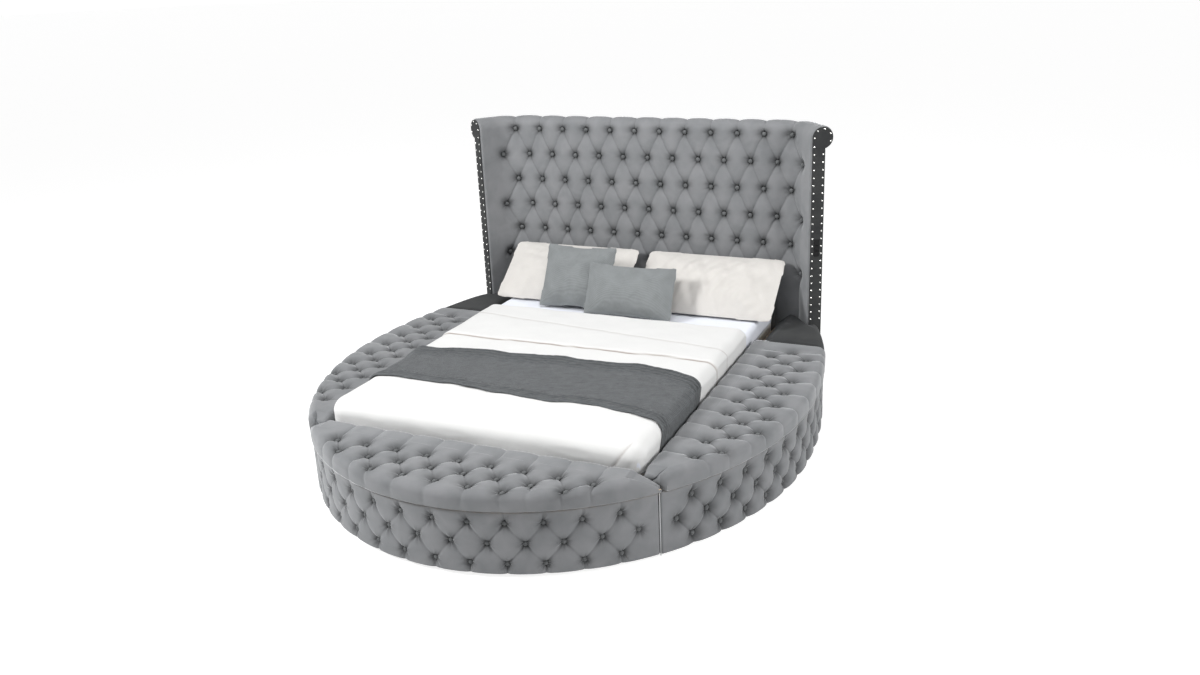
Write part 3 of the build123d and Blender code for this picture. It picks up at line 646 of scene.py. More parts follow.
def lid_surface(grid, depth, cuts):
    """Plan and height of the velvet over a lid."""
    flats = grid.from_inner.shape[1]
    fade = np.concatenate([np.ones(flats), 1 - rim_fade * grid.run / grid.run[-1]])
    turn = np.concatenate([np.zeros(flats), grid.tilt])
    beyond = np.clip((grid.from_inner - slope_run + crown_run) / crown_run, 0, 1)
    crown = np.concatenate([lid_crown * beyond, np.full(grid.rim_z.shape, lid_crown)], axis=1)
    push = (crown * grid.shrink[:, None] - depth) * fade[None, :]
    above_board = np.clip((grid.rim_z - board_top) / free_height, 0, 1)
    push[:, flats:] = np.maximum(push[:, flats:], -least_in - most_in * above_board)
    upper_share = np.concatenate([np.ones(flats), np.clip((grid.rim_share - 0.35) / 0.65, 0, 1)])
    plan = grid.plan
    for point, direction in cuts:
        drop = edge_drop(np.abs((plan - point) @ direction), cut_round)
        push -= drop * np.cos(turn)[None, :]
        sideways = cut_side_share * drop * (np.sin(turn) * upper_share)[None, :]
        plan = plan - grid.normal[:, None] * sideways[..., None]
    plan = plan + grid.normal[:, None] * (push * np.sin(turn)[None, :])[..., None]
    z = np.maximum(grid.z + push * np.cos(turn)[None, :], lid_under)
    z[:, flats:] = np.minimum(z[:, flats:], grid.rim_z + push[:, flats:] * np.cos(grid.tilt))
    reach_in = ((plan - grid.inner[:, None]) * grid.across[:, None]).sum(axis=2)
    slope_plane = slope_foot + reach_in * slope_rise / slope_run + plane_gap
    return plan, np.minimum(z, np.maximum(slope_plane, lid_under))


# %% [markdown]
# Two more columns take the velvet down over the board's inner edge, and at both ends an extruded edge is
# drawn down over the board. Filling what is left open makes a closed pad that has the board inside its
# cover, as on the real lid, where the velvet is stapled underneath.

# %% Mesh of a lid
turned_in, turned_down = 0.0004, 0.0018
end_drop_run = 0.03
end_near, end_out = 0.004, 0.0005


def lid_mesh(grid, plan, z, marks):
    """The lid's grid as a mesh, and its number of columns."""
    column = (len(grid.inner), 1, 1)
    first = np.concatenate([grid.inner[:, None], np.full(column, lid_under)], axis=2)
    turned_plan = (grid.inner - turned_in * grid.across)[:, None]
    turned = np.concatenate([turned_plan, np.full(column, board_top - turned_down)], axis=2)
    places = np.concatenate([turned, first, np.concatenate([plan, z[..., None]], axis=2)], axis=1)
    marks = marks.reshape(*z.shape, 4)
    bm = grid_mesh(places, np.concatenate([marks[:, :1], marks[:, :1], marks], axis=1))
    bm.verts.ensure_lookup_table()
    columns = places.shape[1]
    for start in range(slope_columns + 2, len(bm.verts) - columns, columns):
        bm.edges.get((bm.verts[start], bm.verts[start + columns])).smooth = False
    return bm, columns


def nearest_point(line, points):
    """Index of the nearest point of a short line to each point."""
    return np.array([np.argmin(((line - p) ** 2).sum(axis=1)) for p in points])


def draw_down_ends(bm, columns, inner, cuts):
    """Draw the velvet down over both ends of the board, just outside them."""
    end_rows = (bm.verts[:columns], bm.verts[len(bm.verts) - columns :])
    end_edges = [
        [e for e in bm.edges if e.is_boundary and e.verts[0] in row and e.verts[1] in row]
        for row in (set(end_rows[0]), set(end_rows[1]))
    ]
    cover = end_rows[0] + end_rows[1]
    for edges in end_edges:
        made = bmesh.ops.extrude_edge_only(bm, edges=edges)["geom"]
        drawn_down = [v for v in made if isinstance(v, bmesh.types.BMVert)]
        cover += drawn_down
        ends = np.array([v.co for v in drawn_down])
        reach_in = np.linalg.norm(ends[:, :2] - inner[nearest_point(inner, ends[:, :2])], axis=1)
        for vert, distance in zip(drawn_down, reach_in):
            vert.co.z = rim_low + (lid_under - rim_low) * max(0, 1 - distance / end_drop_run)
    for point, direction in cuts:
        side = np.sign((inner[len(inner) // 2] - point) @ direction)
        for vert in cover:
            away = (vert.co.x - point[0]) * direction[0] + (vert.co.y - point[1]) * direction[1]
            if abs(away) < end_near:
                vert.co.x -= (away + end_out * side) * direction[0]
                vert.co.y -= (away + end_out * side) * direction[1]


# %% [markdown]
# ## Soft roll along a lid's inner edge
# A shut lid meets the bedding without a groove, because its foam bulges over the slope. An opened one has
# to clear the duvet, and there the real foam is pressed flat.

# %% Section of the roll
roll_round = 0.026
roll_reach = 0.0145
roll_over_top = 0.005
roll_lift = 0.0006
wall_columns, bend_columns, flat_columns = 6, 12, 16


def roll_section(grid):
    """Fullness of each row, and the roll's reach, height and tilt over its columns."""
    full = np.clip(grid.slope_end / slope_run, 0.001, 1)
    wall = np.linspace(slope_foot + 0.002, lid_top - roll_round, wall_columns, endpoint=False)
    tilt = np.linspace(0, np.pi / 2, bend_columns)
    bent = roll_round * (1 - np.cos(tilt)) - roll_reach
    outward = np.linspace(0, 1, flat_columns + 1)[1:]
    start = np.concatenate([np.full(wall_columns, -roll_reach), bent])[None, :] * (full**0.5)[:, None]
    end = grid.slope_end + roll_over_top * np.clip((full - 0.8) / 0.2, 0, 1)
    flat_run = start[:, -1:] + outward[None, :] * (end[:, None] - start[:, -1:])
    reach = np.concatenate([start, flat_run], axis=1)
    bend = lid_top - roll_round * (1 - np.sin(tilt))
    profile = np.concatenate([wall, bend, np.full(flat_columns, lid_top)])
    crest = slope_foot + slope_rise * full**0.75
    crest_share = (crest - slope_foot) / slope_rise
    height = slope_foot + (profile[None, :] - slope_foot) * crest_share[:, None]
    end_z = np.minimum(slope_foot + full * slope_rise, grid.top)
    settle = np.concatenate([np.zeros(wall_columns + bend_columns), outward**2])
    height = height + settle[None, :] * (end_z - crest)[:, None]
    up = np.concatenate([np.zeros(wall_columns), tilt, np.full(flat_columns, np.pi / 2)])
    return full, reach, profile, height, up


# %% [markdown]
# The roll takes the same folds as its lid, and they fade where it is thin. Its lower face follows the slope.
# Its last column is a seam on the lid's top, so that edge is marked sharp.

# %% Inner roll
def press_flat(piece):
    """Give the roll a mesh of its own."""
    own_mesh(piece)


def inner_roll(body, grid, spots, links, to_cloth):
    """The soft roll that fills the lid's edge up to the bedding."""
    inner, across = grid.inner, grid.across
    full, reach, profile, height, up = roll_section(grid)
    plan = inner[:, None] + across[:, None] * reach[..., None]
    depth, marks = lid_folds(to_cloth(plan).reshape(-1, 2), links, spots)
    push = (lid_crown * np.sin(up)[None, :] - depth.reshape(reach.shape)) * full[:, None]
    push *= np.clip((profile - slope_foot) / 0.03, 0, 1)[None, :]
    plan = plan - across[:, None] * (push * np.cos(up)[None, :])[..., None]
    z = height + push * np.sin(up)[None, :]
    back = roll_reach - 0.001
    below = np.linspace(0.001, 1, reach.shape[1])[None, :] * (grid.slope_end + back)[:, None]
    below = (below - back) * full[:, None] ** 0.5
    below[:, -1] = reach[:, -1]
    slope = slope_foot + np.clip(below / slope_run, 0, 1) * slope_rise + roll_lift
    under_plan = inner[:, None] + across[:, None] * below[..., None]
    under_z = np.minimum(slope, z - 0.0004)
    upper = np.concatenate([plan, z[..., None]], axis=2)
    lower = np.concatenate([under_plan, under_z[..., None]], axis=2)
    keep = np.nonzero(full > 0.06)[0]
    rows = slice(keep[0], keep[-1] + 1)
    marks = marks.reshape(*z.shape, 4)[rows]
    name = body + "_inner_roll"
    piece = closed_layer(name, body, upper[rows], lower[rows], grey_velvet, marks)
    seam = {(row + 1) * z.shape[1] - 1 for row in range(len(keep))}
    for edge in piece.data.edges:
        if set(edge.vertices) <= seam:
            edge.use_edge_sharp = True
    press_flat(piece)


# %% [markdown]
# Now the steps are put together: grid, folds, surface, ends and roll. At the thin tips many vertices fall
# on one place, so they are merged before the open edges are filled.

# %% A whole lid
def bench_top(body, inner, outer, cuts, pitch, to_cloth):
    """A tufted lid and its inner roll, riding on a lid's body."""
    grid = lid_grid(inner, outer)
    spots, links = lid_creases(centres_of(body + "_buttons")[:, :2], pitch, to_cloth)
    depth, marks = lid_folds(to_cloth(grid.unrolled).reshape(-1, 2), links, spots)
    plan, z = lid_surface(grid, depth.reshape(grid.z.shape), cuts)
    bm, columns = lid_mesh(grid, plan, z, marks)
    draw_down_ends(bm, columns, inner, cuts)
    bmesh.ops.remove_doubles(bm, verts=bm.verts, dist=3e-5)
    bmesh.ops.holes_fill(bm, edges=[e for e in bm.edges if e.is_boundary], sides=0)
    piece = finished(bm, body + "_velvet", body, grey_velvet)
    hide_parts(body + "_pad")
    inner_roll(body, grid, spots, links, to_cloth)
    return piece


# %% [markdown]
# ## The three lids
# The foot lid is the part of the ring beyond the mattress, pointed at both ends. Its rows are packed closer
# towards the tips, where the outline turns fastest. Its cloth is measured across the bed and outward.

# %% Foot lid
foot_pitch = 0.153


def foot_cloth(plan):
    """Cloth coordinates of the foot lid: across the bed, and out from the mattress."""
    return np.stack([plan[..., 0], foot_high.y - plan[..., 1]], axis=-1)


foot_tip = half_width * math.sqrt(1 - (widest_line / foot_reach) ** 2)
foot_x = foot_tip * np.sin(np.linspace(-np.pi / 2, np.pi / 2, 420) * 0.996)
foot_inner = np.stack([foot_x, np.full_like(foot_x, foot_high.y)], axis=1)
foot_outer_y = centre_y - foot_reach * np.sqrt(1 - (foot_x / half_width) ** 2)
foot_outer = np.stack([foot_x, foot_outer_y], axis=1)
bench_top("foot_lid", foot_inner, foot_outer, [], foot_pitch, foot_cloth)

# %% [markdown]
# The side lids run along the mattress and are cut across at both ends, where their velvet is rounded over.
# They are mirror images, so the left one is a mirrored copy that rides on its own body.

# %% Side lids
side_pitch = 0.148


def side_cloth(plan):
    """Cloth coordinates of a side lid: along the bed, and out from the mattress."""
    return np.stack([plan[..., 1], plan[..., 0] - well_edge], axis=-1)


side_y = np.linspace(side_low.y - 0.0004, side_high.y + 0.0004, 350)
from_widest = side_y - centre_y
reach_here = np.where(from_widest < 0, foot_reach, head_reach)
side_outer_x = half_width * np.sqrt(1 - (from_widest / reach_here) ** 2)
side_inner = np.stack([np.full_like(side_y, well_edge), side_y], axis=1)
side_outer = np.stack([side_outer_x, side_y], axis=1)
lid_cuts = [((0, side_low.y), (0, 1)), ((0, side_high.y), (0, 1))]
right_lid = bench_top("right_lid", side_inner, side_outer, lid_cuts, side_pitch, side_cloth)
left_lid = mirrored(right_lid, "left_lid_velvet", "left_lid")
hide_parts("left_lid_pad")
left_roll = mirrored(bpy.data.objects["right_lid_inner_roll"], "left_lid_inner_roll", "left_lid")
press_flat(left_roll)

# %% [markdown]
# ## Buttoned faces of the boxes
# The face of each box is a padded board that follows the outline. A curved slab could be cut and dented by
# hand, but the fold rules already do that. So its grid runs round the bed and up from the floor edge to the
# seam. The foot's face is pulled in gently and the side faces deeply.

# %% Folds of a face
face_inset = 0.008
face_back = 0.0477
face_round = 0.011
face_row = 0.09
face_seed = 7
face_low, face_high = (corner.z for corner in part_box("foot_box_face_pad"))
face_line = outline(face_inset)
print("faces", round((face_high - face_low) * 1000), "mm high")


def face_folds(spots, along, up, pit, crease, crown, well):
    """How far the velvet of a face stands out, and the marks for its material."""
    links = tuft_links(spots, foot_pitch, face_row)
    for sign, edge in ((1, face_high), (-1, face_low)):
        for i in lacking(spots, foot_pitch, face_row, sign):
            if abs(spots[i][1] - edge) < face_row:
                links.append((spots[i], np.array([spots[i][0], edge]), False))
    cloth = np.stack([along.ravel(), up.ravel()], axis=1)
    depth = fold_depth(cloth, links, spots, pit, crease, well=well).reshape(along.shape)
    gathers, marks = fold_marks(cloth, links, spots, face_seed, well)
    push = crown - depth + gathers.reshape(along.shape)
    for distance in (up - face_low, face_high - up, along - along.min(), along.max() - along):
        push -= edge_drop(distance, face_round)
    return push, marks


# %% [markdown]
# The top and bottom edges are turned in over the board, as the real velvet is, and the back is closed by
# bridging the two turned-in edges.

# %% Face pads
def is_level(edge):
    """Whether an edge lies at one height."""
    return abs(edge.verts[0].co.z - edge.verts[1].co.z) < 1e-6


def turn_in(bm, level):
    """Draw the edge at one height in over the board, and return the edges that this made."""
    edges = [e for e in bm.edges if e.is_boundary and all(abs(v.co.z - level) < 1e-6 for v in e.verts)]
    made = bmesh.ops.extrude_edge_only(bm, edges=edges)["geom"]
    for vert in made:
        if isinstance(vert, bmesh.types.BMVert):
            k = nearest(face_line, [np.array(vert.co[:2])])[0]
            inward = face_line["points"][k] - face_line["normal"][k] * (face_back - face_inset)
            vert.co = (*inward, level)
    return [e for e in made if isinstance(e, bmesh.types.BMEdge)]


def face_pad(side, first, last, pit, crease, crown, well):
    """A buttoned face between two distances round the outline."""
    buttons = centres_of(side + "_box_buttons")
    spots = np.stack([face_line["length"][nearest(face_line, buttons[:, :2])], buttons[:, 2]], axis=1)
    columns = np.linspace(first, last, int((last - first) / grid_step))
    rows = np.linspace(face_low, face_high, int((face_high - face_low) / grid_step))
    along, up = np.meshgrid(columns, rows)
    push, marks = face_folds(spots, along, up, pit, crease, crown, well)
    points, normal = at_length(face_line, along)
    plan = points + normal * push[..., None]
    bm = grid_mesh(np.concatenate([plan, up[..., None]], axis=2), marks)
    turned_in = turn_in(bm, face_low) + turn_in(bm, face_high)
    bmesh.ops.bridge_loops(bm, edges=[e for e in turned_in if e.is_boundary and is_level(e)])
    bmesh.ops.holes_fill(bm, edges=[e for e in bm.edges if e.is_boundary], sides=0)
    piece = finished(bm, side + "_face_velvet", "bed", grey_velvet)
    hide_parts(side + "_box_face_pad")
    return piece


foot_samples = face_line["length"][face_line["points"][:, 1] < foot_high.y]
on_side = (face_line["points"][:, 1] > foot_high.y + 0.001) & (face_line["points"][:, 0] > 0)
side_samples = face_line["length"][on_side]
face_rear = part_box("right_box_face_pad")[1].y
rear_length = side_samples[np.argmin(np.abs(at_length(face_line, side_samples)[0][:, 1] - face_rear))]
face_pad("foot", foot_samples[0], foot_samples[-1], pit=0.02, crease=0.0036, crown=0.001, well=0.02)
first = side_samples[0]
right_face = face_pad("right", first, rear_length, pit=0.026, crease=0.0095, crown=0.004, well=0.032)
left_face = mirrored(right_face, "left_face_velvet", "bed")
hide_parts("left_box_face_pad")

# %% [markdown]
# ## Headboard
# The headboard is one sheet of foam and velvet that follows the wall, bends forward at both wings and
# rolls over at the top like a scroll. It could be swept along a curve, but then no flat cloth would be left
# to measure the folds on. So its grid runs along the plan line and up the face, then round the roll.

# %% Plan line of the headboard
wing_turn = math.radians(55)
wing_bend = 0.16
wing_straight = 0.12
roll_radius = 0.062
pad_low, pad_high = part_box("headboard_pad")
headboard_front = pad_high.y - 2 * roll_radius
headboard_low = pad_low.z
roll_z = pad_high.z - roll_radius
bend_length = wing_bend * wing_turn
headboard_reach = well_edge + bend_length + wing_straight


def headboard_place(along, behind):
    """Plan point and outward normal on the headboard, a distance along it and behind its face."""
    distance = np.abs(along)
    turn = np.clip(distance - well_edge, 0, bend_length) / wing_bend
    past = np.clip(distance - well_edge - bend_length, 0, None)
    x = np.minimum(distance, well_edge) + wing_bend * np.sin(turn) + past * np.cos(turn)
    y = headboard_front - wing_bend + wing_bend * np.cos(turn) - past * np.sin(turn)
    side = np.where(along < 0, -1, 1)
    normal = np.stack([-side * np.sin(turn), -np.cos(turn)], axis=-1)
    return np.stack([side * x, y], axis=-1) - normal * behind[..., None], normal


def headboard_along(points):
    """Distance along the headboard of plan points that lie near its face."""
    samples = np.linspace(-headboard_reach, headboard_reach, 4000)
    line = headboard_place(samples, np.zeros_like(samples))[0]
    return samples[nearest_point(line, points)]


print("headboard", round(2 * headboard_reach, 3), "m along its cloth")

# %% [markdown]
# Every row has a height up the cloth and an angle of turn: none on the upright face, and 262 degrees where
# the roll ends. The two together say where a point of the flat cloth stands.

# %% Rows and columns of the headboard
roll_end = math.radians(262)
face_height = roll_z - headboard_low
rows_up = int(face_height / 0.0062)
roll_turn = np.linspace(0, roll_end, 52)
straight_rise = np.linspace(0, face_height, rows_up, endpoint=False)
rise = np.concatenate([straight_rise, face_height + roll_turn * roll_radius])
turn_up = np.concatenate([np.zeros(rows_up), roll_turn])
depth_behind = roll_radius * (1 - np.cos(turn_up))
height_up = np.concatenate([headboard_low + straight_rise, roll_z + roll_radius * np.sin(roll_turn)])
columns_along = np.linspace(-headboard_reach, headboard_reach, int(2 * headboard_reach / 0.0045))
along, rise_grid = np.meshgrid(columns_along, rise)
print("headboard grid", along.shape)

# %% [markdown]
# The creases of the top row run on over the roll as pleats, and below the last row the velvet falls in long
# straight pleats behind the mattress. The foam is thicker than on the boxes, so pits and flanks are wider.

# %% Folds of the headboard
headboard_row = 0.152
below_mattress = -0.05
side_round = 0.012
headboard_centres = centres_of("headboard_buttons")
headboard_spots = np.stack(
    [headboard_along(headboard_centres[:, :2]), headboard_centres[:, 2] - headboard_low], axis=1
)
headboard_links = tuft_links(headboard_spots, foot_pitch, headboard_row)
for spot in headboard_spots:
    if spot[1] > headboard_spots[:, 1].max() - 0.01:
        over_roll = np.array([spot[0], face_height + roll_end * roll_radius])
        headboard_links.append((spot, over_roll, False))
    if spot[1] < headboard_spots[:, 1].min() + 0.01:
        headboard_links.append((spot, np.array([spot[0], below_mattress]), False))
cloth = np.stack([along.ravel(), rise_grid.ravel()], axis=1)
folds = (cloth, headboard_links, headboard_spots)
depth = fold_depth(*folds, pit=0.029, crease=0.0105, reach=0.036, flank=0.066, well=0.036)
gathers, marks = fold_marks(*folds, seed=75, dark_reach=0.028)
push = -(depth - gathers).reshape(along.shape) - edge_drop(headboard_reach - np.abs(along), side_round)
print("deepest fold", round(float(depth.max()) * 1000, 1), "mm")

# %% [markdown]
# The bottom edge is drawn back under the foam, its new edge is bridged to the end of the roll, and the two
# open sides are filled, which makes the pad a closed body.

# %% Headboard velvet
pad_depth = 0.048
plan, _ = headboard_place(along, depth_behind[:, None] - push * np.cos(turn_up)[:, None])
z = height_up[:, None] + push * np.sin(turn_up)[:, None]
bm = grid_mesh(np.concatenate([plan, z[..., None]], axis=2), marks)
bm.verts.ensure_lookup_table()
columns = len(columns_along)
bottom = set(bm.verts[:columns])
top = set(bm.verts[-columns:])
bottom_edges = [e for e in bm.edges if e.is_boundary and set(e.verts) <= bottom]
made = bmesh.ops.extrude_edge_only(bm, edges=bottom_edges)["geom"]
for vert in (v for v in made if isinstance(v, bmesh.types.BMVert)):
    spot = headboard_along([np.array(vert.co[:2])])
    vert.co = (*headboard_place(spot, np.array([pad_depth]))[0][0], headboard_low)
back_edges = [e for e in made if isinstance(e, bmesh.types.BMEdge) and e.is_boundary]
back_edges = [e for e in back_edges if is_level(e) and not set(e.verts) & bottom]
top_edges = [e for e in bm.edges if e.is_boundary and set(e.verts) <= top]
bmesh.ops.bridge_loops(bm, edges=back_edges + top_edges)
bmesh.ops.holes_fill(bm, edges=[e for e in bm.edges if e.is_boundary], sides=0)
headboard = finished(bm, "headboard_velvet", "bed", grey_velvet)
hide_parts("headboard_pad")

# %% [markdown]
# ## Covered buttons
# Each button is a metal cap covered in the same velvet, so it is a low dome with a rounded edge. A shader
# can't give a round outline, so each is real mesh: a flattened sphere, set on the floor of its tuft and
# square to the surface.

# %% Domes at given places
def set_domes(name, body, points, normals, size, material):
    """One piece with a low dome at each point. Size is its radius and its height."""
    bm = bmesh.new()
    for point, normal in zip(points, normals):
        made = bmesh.ops.create_uvsphere(bm, u_segments=12, v_segments=6, radius=1)["verts"]
        bmesh.ops.scale(bm, vec=(size[0], *size), verts=made)
        turned = Vector(normal).to_track_quat("Z", "Y").to_matrix().to_4x4()
        bmesh.ops.transform(bm, matrix=Matrix.Translation(Vector(point)) @ turned, verts=made)
    return finished(bm, name, body, material)


# %% [markdown]
# The buttons on the lids face up. Those on the boxes and the headboard face outward, along the normal of
# the line that their pad follows.

# %% Buttons
button_size = (0.0118, 0.0085)


def covered_buttons(node, body, points, outward):
    """The covered buttons of a node, each facing outward."""
    piece = set_domes(node + "_velvet", body, points, outward, button_size, shaded_button_velvet)
    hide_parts(node)


def face_outward(side, points):
    """Outward directions on a box's face. The outline has no left side, so its points are mirrored."""
    mirror = np.array((-1 if side == "left" else 1, 1))
    normals = face_line["normal"][nearest(face_line, points[:, :2] * mirror)] * mirror
    return [(x, y, 0) for x, y in normals]


for side in ("foot", "right", "left"):
    points = centres_of(side + "_lid_buttons")
    covered_buttons(side + "_lid_buttons", side + "_lid", points, [(0, 0, 1)] * len(points))
    points = centres_of(side + "_box_buttons")
    covered_buttons(side + "_box_buttons", "bed", points, face_outward(side, points))
headboard_normals = headboard_place(headboard_spots[:, 0], np.zeros(len(headboard_spots)))[1]
outward = [(x, y, 0) for x, y in headboard_normals]
covered_buttons("headboard_buttons", "bed", headboard_centres, outward)

# %% [markdown]
# ## Nailheads
# Two rows of bright nickel nails edge the wing panels and follow the scroll. A nail is a low dome of 11 mm on
# the panel, made by the buttons' helper. Nickel is a bare metal, so nearly all that the eye sees is what it
# reflects, and polishing leaves faint scuffs, which a fine noise in the roughness gives.

# %% Nails
nail_size = (0.0055, 0.0042)
nail_sunk = 0.0015
scuffs_per_metre = 900
nickel, nickel_tree, nickel_shader, nickel_place = new_material(
    "polished_nickel", {"Metallic": 1.0, "Roughness": 0.2, "Base Color": linear("#d9d9d6")}
)
scuff_noise = {"Scale": scuffs_per_metre, "Detail": 2}
scuff = add_node(nickel_tree, "ShaderNodeTexNoise", scuff_noise, {"Vector": nickel_place})
scuff_range = add_node(
    nickel_tree, "ShaderNodeMapRange", {"To Min": 0.14, "To Max": 0.3}, {"Value": scuff.outputs[0]}
)
nickel_tree.links.new(scuff_range.outputs[0], nickel_shader.inputs["Roughness"])
for side, mirror in (("right", 1), ("left", -1)):
    node = side + "_wing_nails"
    forward = Vector((math.cos(wing_turn) * mirror, -math.sin(wing_turn), 0))
    seats = [Vector(p) - forward * nail_sunk for p in centres_of(node)]
    outward = [forward] * len(seats)
    nails = set_domes(side + "_nailheads", "bed", seats, outward, nail_size, nickel)
    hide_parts(node)

# %% [markdown]
# ## Cotton, gauze and woven covers
# Percale is a close plain weave of cotton: matt and nearly white, so the eye reads only its soft creasing.
# The throw is crinkled gauze with fine ribs across it, and the small cushions have a coarse open weave, so
# their crossed threads show. An image of cloth would repeat, so two crossed waves stand for the threads.
# Real percale has three threads to the millimetre, too fine for this picture, so it is drawn at 1.2 mm.

# %% Woven cloth
# a wave texture of scale 1 repeats after this length
wave_metres = 0.314


def cloth_material(name, dark, light, thread, strength, creases, weft=1.0, sheen=0.1, line="#8d8078"):
    """Woven cloth: threads a spacing apart, and creases of a scale and a depth."""
    material, tree, shader, place = new_material(
        name, {"Roughness": 0.9, "Sheen Weight": sheen, "Specular IOR Level": 0.15}
    )
    threads = []
    for direction, spacing in (("X", thread), ("Y", thread * weft)):
        bands = {"bands_direction": direction, "Scale": wave_metres / spacing, "Distortion": 1.2}
        fine_bands = {"Detail": 1, "Detail Scale": 2.0}
        wave = add_node(tree, "ShaderNodeTexWave", bands | fine_bands, {"Vector": place})
        threads.append(wave.outputs["Fac"])
    weave = add_node(tree, "ShaderNodeMath", {"operation": "MULTIPLY"}, {0: threads[0], 1: threads[1]})
    soft_noise = {"Scale": creases[0], "Detail": 4, "Roughness": 0.55, "Distortion": 0.8}
    crease = add_node(tree, "ShaderNodeTexNoise", soft_noise, {"Vector": place})
    # partly painted shade: the colour follows the same weave and crease heights as the bump, so hollows
    # between threads and in creases are darker and crowns lighter, over a random tone
    weave_and_crease_shade = add_node(
        tree, "ShaderNodeMath", {"operation": "MULTIPLY_ADD"}, {0: weave.outputs[0], 2: crease.outputs[0]}
    )
    weave_and_crease_shade.inputs[1].default_value = 0.55
    colour = blend_colours(tree, weave_and_crease_shade.outputs[0], dark, light)
    # the marks darken the colour towards the line colour: real stitches on the throw, and painted shadow in
    # the throw's valleys and along the duvet's turned-back edge and corner fold
    stitches_and_painted_shade = add_node(tree, "ShaderNodeAttribute", {"attribute_name": "shade"})
    tree.links.new(darkened(tree, stitches_and_painted_shade.outputs["Fac"], colour, line), shader.inputs["Base Color"])
    creased = {"Strength": 0.6, "Distance": creases[1]}
    soft = add_node(tree, "ShaderNodeBump", creased, {"Height": crease.outputs[0]})
    woven = {"Strength": strength, "Distance": thread * 0.5}
    heights = {"Height": weave.outputs[0], "Normal": soft.outputs[0]}
    fine = add_node(tree, "ShaderNodeBump", woven, heights)
    tree.links.new(fine.outputs[0], shader.inputs["Normal"])
    return material


# %% [markdown]
# Each cloth has two tones, the spacing of its threads in metres, how strongly they stand out, and the scale
# and depth of its creases. Percale, gauze and basket weave differ only in these numbers.

# %% The bedding's cloths
percale = 0.0012
# pressed and tightly filled, so its creases are wide and shallow and it looks smooth
duvet_cotton = cloth_material("percale_cotton_white", "#d9d9d8", "#e1e1e0", percale, 0.1, (6, 0.003))
# optical brightener gives a clean sheet its cool cast
sheet_cotton = cloth_material("percale_cotton_cool_white", "#dfe2ea", "#e6e9f1", percale, 0.1, (9, 0.002))
# washed and not ironed, so it is warmer and more creased
pillow_cotton = cloth_material("washed_cotton_off_white", "#c4c1bd", "#cfccc8", percale, 0.12, (10, 0.004))
# shrunk threads pucker the gauze, which reads as fine dark ribs
throw_gauze = cloth_material(
    "crinkled_cotton_gauze", "#3f4143", "#66696b", 0.0042, 0.8, (26, 0.006), 2.4, 0.15, "#2d2e2f"
)
# thick loose yarns catch light on their crowns and leave dark holes between
cushion_weave = cloth_material(
    "open_basket_weave_grey", "#6d7071", "#868a8b", 0.0055, 0.35, (12, 0.002), 1.0, 0.15, "#565a5a"
)

# %% [markdown]
# ## Cloth laid over a rounded block
# Sheet, duvet and throw all lie on the same block with rounded edges. Dropping them as simulated cloth would
# let them slide and sink, and the opened lids need their true sizes. So a point of the flat cloth is placed
# by how far it lies past the block's flat top: first it turns over the edge, then it hangs down. The same
# rule serves for the cloth's upper and lower face, so each layer keeps its thickness.

# %% Wrapping rule
def wrapped(across, along, half_wide, foot_y, head_y, top, edge_round, plan_round):
    """Places and outward normals of flat cloth laid over a block with rounded edges and corners."""
    core_x = np.clip(across, plan_round - half_wide, half_wide - plan_round)
    core_y = np.clip(along, foot_y + plan_round, head_y - plan_round)
    past = np.stack([across - core_x, along - core_y], axis=-1)
    reach = np.abs(past).max(axis=-1)
    spread = np.linalg.norm(past, axis=-1)
    direction = past / np.maximum(spread, 1e-9)[..., None]
    flat = plan_round - edge_round
    turn = np.clip((reach - flat) / edge_round, 0, np.pi / 2)
    drop = np.clip(reach - flat - edge_round * np.pi / 2, 0, None)
    out = np.minimum(reach, flat) + edge_round * np.sin(turn)
    z = top - edge_round * (1 - np.cos(turn)) - drop
    places = np.stack([core_x + direction[..., 0] * out, core_y + direction[..., 1] * out, z], axis=-1)
    sideways = direction * np.sin(turn)[..., None]
    return places, np.concatenate([sideways, np.cos(turn)[..., None]], axis=-1)


def laid_grid(x_from, x_to, y_from, y_to, step):
    """Flat cloth coordinates of a rectangle."""
    across = np.linspace(x_from, x_to, int((x_to - x_from) / step))
    along = np.linspace(y_from, y_to, int((y_to - y_from) / step))
    return np.meshgrid(across, along)


def hang_length(drop, edge_round):
    """Flat cloth needed past a block's edge to turn over its rounding and reach down a drop."""
    return drop - edge_round + edge_round * math.pi / 2 - edge_round


# %% [markdown]
# ## Fitted sheet
# The elastic of a fitted sheet pulls it tight over the mattress, so only faint ripples are left. A grid of
# 12 mm carries them, with a lower face a little over a millimetre below.

# %% Fitted sheet
sheet_low, sheet_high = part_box("fitted_sheet")
sheet_round, sheet_plan_round = 0.0238, 0.0622
ripple_waves = [(0.21, 1), (0.09, 0.6)]
hang = hang_length(sheet_high.z - sheet_low.z, sheet_round)
print("the sheet needs", round(hang, 3), "m past the mattress edge")
across, along = laid_grid(
    sheet_low.x - hang, sheet_high.x + hang, sheet_low.y - hang, sheet_high.y + hang, 0.012
)
ripple = 0.0012 * noise_field(np.stack([across, along], axis=-1), 3, ripple_waves)
sheet_block = (sheet_high.x, sheet_low.y, sheet_high.y, sheet_high.z, sheet_round, sheet_plan_round)
places, normal = wrapped(across, along, *sheet_block)
upper = places + normal * (ripple - 0.0002)[..., None]
lower = places + normal * (ripple - 0.0014)[..., None]
sheet_piece = closed_layer("fitted_sheet_cotton", "bed", upper, lower, sheet_cotton)
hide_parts("fitted_sheet")

# %% [markdown]
# ## Duvet
# The duvet lies over the whole mattress, hangs down on three sides and is turned back on itself at its
# head end. It is filled, so its edges are full curves and its top swells softly. The flat cloth is wrapped
# over a block first, and what the filling adds is worked out as a height above it.

